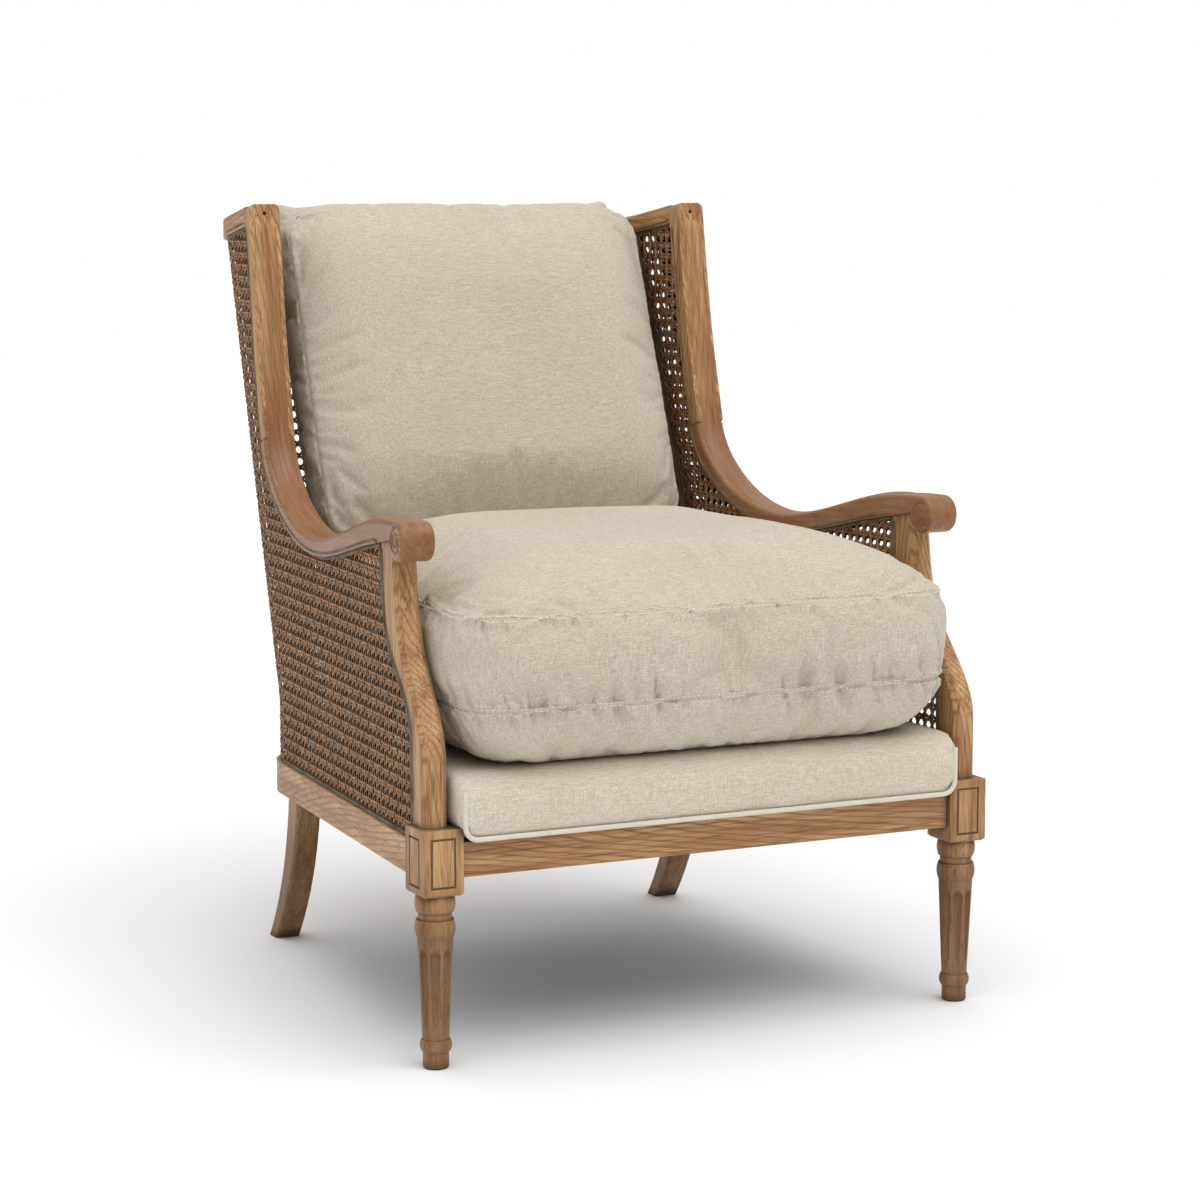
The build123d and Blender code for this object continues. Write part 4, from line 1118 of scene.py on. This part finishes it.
def make_seat_cushion():
    obj = soft_copy("seat_cushion", "seat_cushion_cover")
    loop = rounded_loop(SEAT_FRONT, SEAT_REAR, SEAT_FRONT_HALF, SEAT_REAR_HALF, SEAT_CORNER)
    seams = [np.column_stack([loop, np.full(len(loop), z)]) for z in SEAT_SEAMS]
    points = get_points(obj)
    on_deck = np.clip((SEAT_BOTTOM + 0.004 - points[:, 2]) / 0.003, 0, 1)
    inflate(obj, np.maximum(held_near(seams, points), on_deck), 0.009, 0.05)
    refine(obj)
    for number, (seam, (reach, depth)) in enumerate(zip(seams, SEAT_CREASES)):
        sew(obj, seam, UP, 0.004, reach, depth, 3.0 + number * 11)
    points = get_points(obj)
    normals = get_normals(obj)
    waist = (points[:, 2] - SEAT_SEAMS[0]) / (SEAT_SEAMS[1] - SEAT_SEAMS[0])
    full = np.clip(4 * waist * (1 - waist), 0, 1) ** 0.7
    points += level_normals(normals) * (SEAT_FULLNESS * full)[:, None]
    swell = uneven(points, 9.0) * SWELL
    swell *= np.clip((points[:, 2] - SEAT_BOTTOM) / 0.02, 0, 1)
    points += normals * swell[:, None]
    limit = SIDE_OFFSET - math.tan(SIDE_TAPER) * points[:, 1] - INNER_INSET - SEAT_SIDE_GAP
    over = (points[:, 1] > ARM_POST_REAR) & (np.abs(points[:, 0]) > limit)
    points[over, 0] = np.sign(points[over, 0]) * limit[over]
    points[:, 2] = np.maximum(points[:, 2], SEAT_BOTTOM)
    points[:, 1] = np.minimum(points[:, 1], SEAT_REAR + SEAT_REAR_SWELL)
    set_points(obj, points)
    finish_soft(obj, LINEN, "seat_cushion_body", "seat_cushion")
    threads = Mesher()
    for seam in seams:
        stitch_rows(threads, obj, seam, UP)
    threads.piece("seat_cushion_stitching", THREAD, "linen", "seat_cushion_body")


# Back cushion, in the plane of the recline
BACK_HALF, BACK_BOTTOM, BACK_HEIGHT = 0.259, 0.503, 0.501
BACK_DROP, BACK_THICKNESS, BACK_CORNER = 0.040, 0.098, 0.046
BACK_TUCK, BACK_REAR_INSET = 0.014, 0.007
BACK_UP = np.array((0.0, math.sin(RECLINE), math.cos(RECLINE)))
BACK_OUT = np.array((0.0, -math.cos(RECLINE), math.sin(RECLINE)))
BACK_CREASES = ((0.030, 0.016), (0.0022, 0.0005))

# Pulled-out tips at its upper corners
TIP_SIDE, TIP_DROP, TIP_DEPTH = 0.012, 0.016, 0.022
TIP_REACH, TIP_DEPTH_REACH = 0.028, 0.030
TIP_PULL_OUT, TIP_PULL_UP = 0.022, 0.026


def make_back_cushion():
    obj = soft_copy("back_cushion", "back_cushion_cover")
    base = np.array((0.0, 0.0, BACK_BOTTOM))
    cad = np.array([v.co for v in nodes["back_cushion"].data.vertices])
    origin = base + BACK_OUT * ((cad - base) @ BACK_OUT).min()
    lift = ((cad - origin) @ BACK_UP).min()
    seams = []
    for depth, inset in ((BACK_TUCK, BACK_REAR_INSET), (BACK_THICKNESS, 0.0)):
        top = BACK_HEIGHT - BACK_DROP * depth / BACK_THICKNESS
        loop = rounded_loop(inset, top - inset, BACK_HALF - inset, BACK_HALF - inset, BACK_CORNER)
        place = origin + BACK_OUT * depth + BACK_UP * lift
        seams.append(place + np.outer(loop[:, 0], (1, 0, 0)) + np.outer(loop[:, 1], BACK_UP))
    inflate(obj, held_near(seams, get_points(obj)), 0.010, 0.03)
    refine(obj)
    for number, seam in enumerate(seams):
        sew(obj, seam, BACK_OUT, 0.003, *BACK_CREASES, 31.0 + number * 7)
    points = get_points(obj)
    swell = uneven(points, (6, 6, 7), (0, 0, 4)) * SWELL
    points += get_normals(obj) * swell[:, None]
    local_up = (points - origin) @ BACK_UP - lift
    local_out = (points - origin) @ BACK_OUT
    for hand, _ in HANDS:
        aside = points[:, 0] - hand * (BACK_HALF - TIP_SIDE)
        tip = np.stack([aside, local_up - (BACK_HEIGHT - TIP_DROP)], 1)
        near = np.exp(-(np.linalg.norm(tip, axis=1) / TIP_REACH) ** 2)
        near *= np.exp(-((local_out - TIP_DEPTH) / TIP_DEPTH_REACH) ** 2)
        points += near[:, None] * (np.array((hand * TIP_PULL_OUT, 0, 0)) + BACK_UP * TIP_PULL_UP)
    set_points(obj, points)
    finish_soft(obj, LINEN, "back_cushion_body", "back_cushion")


make_seat_cushion()
make_back_cushion()

# Deck under the seat cushion, with its soft front roll
DECK_FRONT, DECK_TOP, DECK_BOTTOM = -0.431, 0.340, 0.2644
DECK_BULGE, DECK_WAVE = 0.006, 0.0016


def make_deck():
    obj = soft_copy("deck_pad", "deck_cover")
    smooth_points(obj, 2)
    points = get_points(obj)
    middle = (DECK_TOP + DECK_BOTTOM) / 2
    height = np.clip(1 - ((points[:, 2] - middle) / (DECK_TOP - DECK_BOTTOM) * 2) ** 2, 0, 1)
    front = np.clip((DECK_FRONT + 0.014 - points[:, 1]) / 0.010, 0, 1)
    points[:, 1] -= DECK_BULGE * height * front
    wave = uneven(points, (22, 0, 9), (0, 1.5, 0))
    points += get_normals(obj) * (wave * DECK_WAVE * front)[:, None]
    points[:, 2] = np.clip(points[:, 2], DECK_BOTTOM, DECK_TOP)
    set_points(obj, points)
    finish_soft(obj, DECK_LINEN, "frame", "deck_pad")


make_deck()

PIPING_RADIUS = 0.003
PIPING_HALF, PIPING_Y, PIPING_Z = 0.323, -0.4344, 0.2674
PIPING_RISE, PIPING_CORNER = 0.056, 0.016


def make_piping():
    straight = PIPING_RISE - PIPING_CORNER
    right = [(PIPING_HALF, PIPING_Z + PIPING_RISE - t) for t in np.linspace(0, straight, 8)]
    for a in np.linspace(0, math.pi / 2, 9)[1:]:
        across = PIPING_HALF - PIPING_CORNER * (1 - math.cos(a))
        right.append((across, PIPING_Z + PIPING_CORNER * (1 - math.sin(a))))
    right += [(x, PIPING_Z) for x in np.linspace(PIPING_HALF - PIPING_CORNER, 0, 40)[1:-1]]
    line = right + [(0.0, PIPING_Z)] + [(-x, z) for x, z in reversed(right)]
    points = np.array([(x, PIPING_Y, z) for x, z in line])
    side = np.array((0.0, -1.0, 0.0))
    rings = []
    for i, (spot, along) in enumerate(zip(points, line_tangents(points))):
        other = unit(np.cross(along, side))
        radius = PIPING_RADIUS * (1 + 0.05 * noise.noise(Vector((i * 0.7, 2.0, 0.0))))
        rings.append([spot + (side * math.cos(a) + other * math.sin(a)) * radius for a in circle(12)])
    mesher = Mesher()
    mesher.tube(rings)
    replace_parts(mesher.piece("deck_front_piping", PIPING, "piping"), "deck_piping")


make_piping()

# Webbing straps and dust cover under the seat
STRAP_HALF = 0.025
STRAP_SHAPE = ((0, 0.3), (0, 0.7), (0.01, 1), (0.99, 1), (1, 0.7), (1, 0.3), (0.99, 0), (0.01, 0))
LONG_STRAPS, LONG_PITCH = 5, 0.104
CROSS_STRAPS, CROSS_PITCH, CROSS_MIDDLE = 4, 0.118, -0.115
CROSS_INSET, CROSS_SAG = 0.016, 0.003


def strap_rings(box_low, box_high, axis, sag):
    """Rings of one strap with rounded edges that dips a little between the rails."""
    lo, hi = np.array(box_low), np.array(box_high)
    across = 1 - axis
    rings = []
    for t in np.linspace(0, 1, 28):
        spot = np.zeros(3)
        spot[axis] = lo[axis] + (hi[axis] - lo[axis]) * t
        drop = -sag * math.sin(math.pi * t) ** 2
        ring = []
        for share, level in STRAP_SHAPE:
            p = spot.copy()
            p[across] = lo[across] + (hi[across] - lo[across]) * share
            p[2] = lo[2] + (hi[2] - lo[2]) * level + drop
            ring.append(p)
        rings.append(ring if axis == 1 else ring[::-1])
    return rings


def lay_straps(direction, boxes, axis, sag):
    mesher = Mesher()
    for low, high in boxes:
        mesher.tube(strap_rings(low, high, axis, sag))
    piece = mesher.piece(f"webbing_straps_{direction}", WEBBING, "webbing")
    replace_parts(piece, f"webbing_{direction}")


def make_webbing():
    low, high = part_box("webbing_lengthwise")
    boxes = []
    for i in range(LONG_STRAPS):
        x = (i - (LONG_STRAPS - 1) / 2) * LONG_PITCH
        boxes.append(((x - STRAP_HALF, low.y, low.z), (x + STRAP_HALF, high.y, high.z)))
    lay_straps("lengthwise", boxes, 1, 0.0)
    low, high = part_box("webbing_crosswise")
    boxes = []
    for i in range(CROSS_STRAPS):
        y = CROSS_MIDDLE + (i - (CROSS_STRAPS - 1) / 2) * CROSS_PITCH
        inset = CROSS_INSET / math.cos(SIDE_TAPER)
        reach = SIDE_OFFSET - math.tan(SIDE_TAPER) * (y + STRAP_HALF) - inset
        boxes.append(((-reach, y - STRAP_HALF, low.z), (reach, y + STRAP_HALF, high.z)))
    lay_straps("crosswise", boxes, 0, CROSS_SAG)


make_webbing()

LINING_SLACK = 0.006
LINING_STEP = 0.03


def make_dust_cover():
    """Thin lining stretched under the rails, a little slack in its middle."""
    low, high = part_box("dust_cover")
    mesh = bare_copy("dust_cover")
    work = welded(mesh)
    for axis, along in enumerate((Vector((1, 0, 0)), Vector((0, 1, 0)))):
        for cut in np.arange(low[axis] + 0.02, high[axis] - 0.01, LINING_STEP):
            everything = list(work.verts) + list(work.edges) + list(work.faces)
            bmesh.ops.bisect_plane(work, geom=everything, plane_co=along * float(cut), plane_no=along)
    area = sum(f.calc_area() for f in work.faces if f.normal.z < -0.9)
    for v in work.verts:
        share = [(v.co[k] - low[k]) / (high[k] - low[k]) for k in range(2)]
        slack = math.sin(math.pi * share[0]) ** 2 * math.sin(math.pi * share[1]) ** 2
        v.co.z -= LINING_SLACK * slack
    work.to_mesh(mesh)
    work.free()
    obj = new_object("dust_cover_cloth", mesh)
    dress(obj, LINING)
    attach(obj, "frame")
    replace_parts(obj, "dust_cover")


make_dust_cover()

# Floor, light and camera
FLOOR_REACH = 14.0
FLOOR_DARK, FLOOR_LIGHT = (0.92, 0.92, 0.92, 1.0), (0.94, 0.94, 0.94, 1.0)
WHITE = (1.0, 1.0, 1.0, 1.0)
SKY_LOW, SKY_HIGH = 0.40, 0.98
SUN_STRENGTH = 1.4
SUN_ANGLE = math.radians(60)
SUN_AIM = Vector((-0.06, 0.34, -0.94))

floor_mesh = bpy.data.meshes.new("floor")
floor_corners = [(x * FLOOR_REACH, y * FLOOR_REACH, 0) for x, y in ((-1, -1), (1, -1), (1, 1), (-1, 1))]
floor_mesh.from_pydata(floor_corners, [], [(0, 1, 2, 3)])
floor = new_object("floor", floor_mesh)
pale = Shading("floor_paint")
tint = pale.span(pale.noise(pale.place, 0.6, 2), 0.3, 0.7)
pale_colour = pale.mix(tint, FLOOR_DARK, FLOOR_LIGHT)
dress(floor, pale.set(Base_Color=pale_colour, Roughness=0.9, Specular_IOR_Level=0.0))

# The sky's light fades towards the horizon, and the camera sees a white backdrop instead of it
scene.world = bpy.data.worlds.new("studio")
scene.world.use_nodes = True
sky = Nodes(scene.world.node_tree)
glow = sky.tree.nodes["Background"]
glow.inputs["Color"].default_value = WHITE
sky_direction = sky.node("ShaderNodeTexCoord").outputs["Generated"]
sky_height = sky.node("ShaderNodeSeparateXYZ", {0: sky_direction}).outputs["Z"]
sky.feed(glow.inputs["Strength"], sky.span(sky_height, 0.0, 1.0, SKY_LOW, SKY_HIGH))
backdrop = sky.node("ShaderNodeBackground", {"Color": WHITE})
seen_directly = sky.node("ShaderNodeLightPath").outputs["Is Camera Ray"]
shown = sky.node("ShaderNodeMixShader", {0: seen_directly, 1: glow.outputs[0], 2: backdrop.outputs[0]})
sky.feed(sky.tree.nodes["World Output"].inputs["Surface"], shown.outputs[0])

sun = bpy.data.lights.new("soft_sun", "SUN")
sun.energy = SUN_STRENGTH
sun.angle = SUN_ANGLE
sun_object = new_object("soft_sun", sun)
sun_object.rotation_mode = "QUATERNION"
sun_object.rotation_quaternion = SUN_AIM.to_track_quat("-Z", "Y")
scene.view_settings.view_transform = "Standard"

CAMERA_PLACE = Vector((-1.68447, -3.60681, 0.99929))
CAMERA_BACK = Vector((-0.4305, -0.8930, 0.1317)).normalized()
SENSOR_WIDTH, FOCAL_LENGTH = 36.0, 93.71
camera_right = Vector((0, 0, 1)).cross(CAMERA_BACK).normalized()
camera_up = CAMERA_BACK.cross(camera_right)
lens = bpy.data.cameras.new("camera")
lens.sensor_width = SENSOR_WIDTH
lens.lens = FOCAL_LENGTH
lens.clip_end = 60.0
camera = new_object("camera", lens)
camera.matrix_world = Matrix.Translation(CAMERA_PLACE) @ Matrix(
    (camera_right, camera_up, CAMERA_BACK)
).transposed().to_4x4()
scene.camera = camera
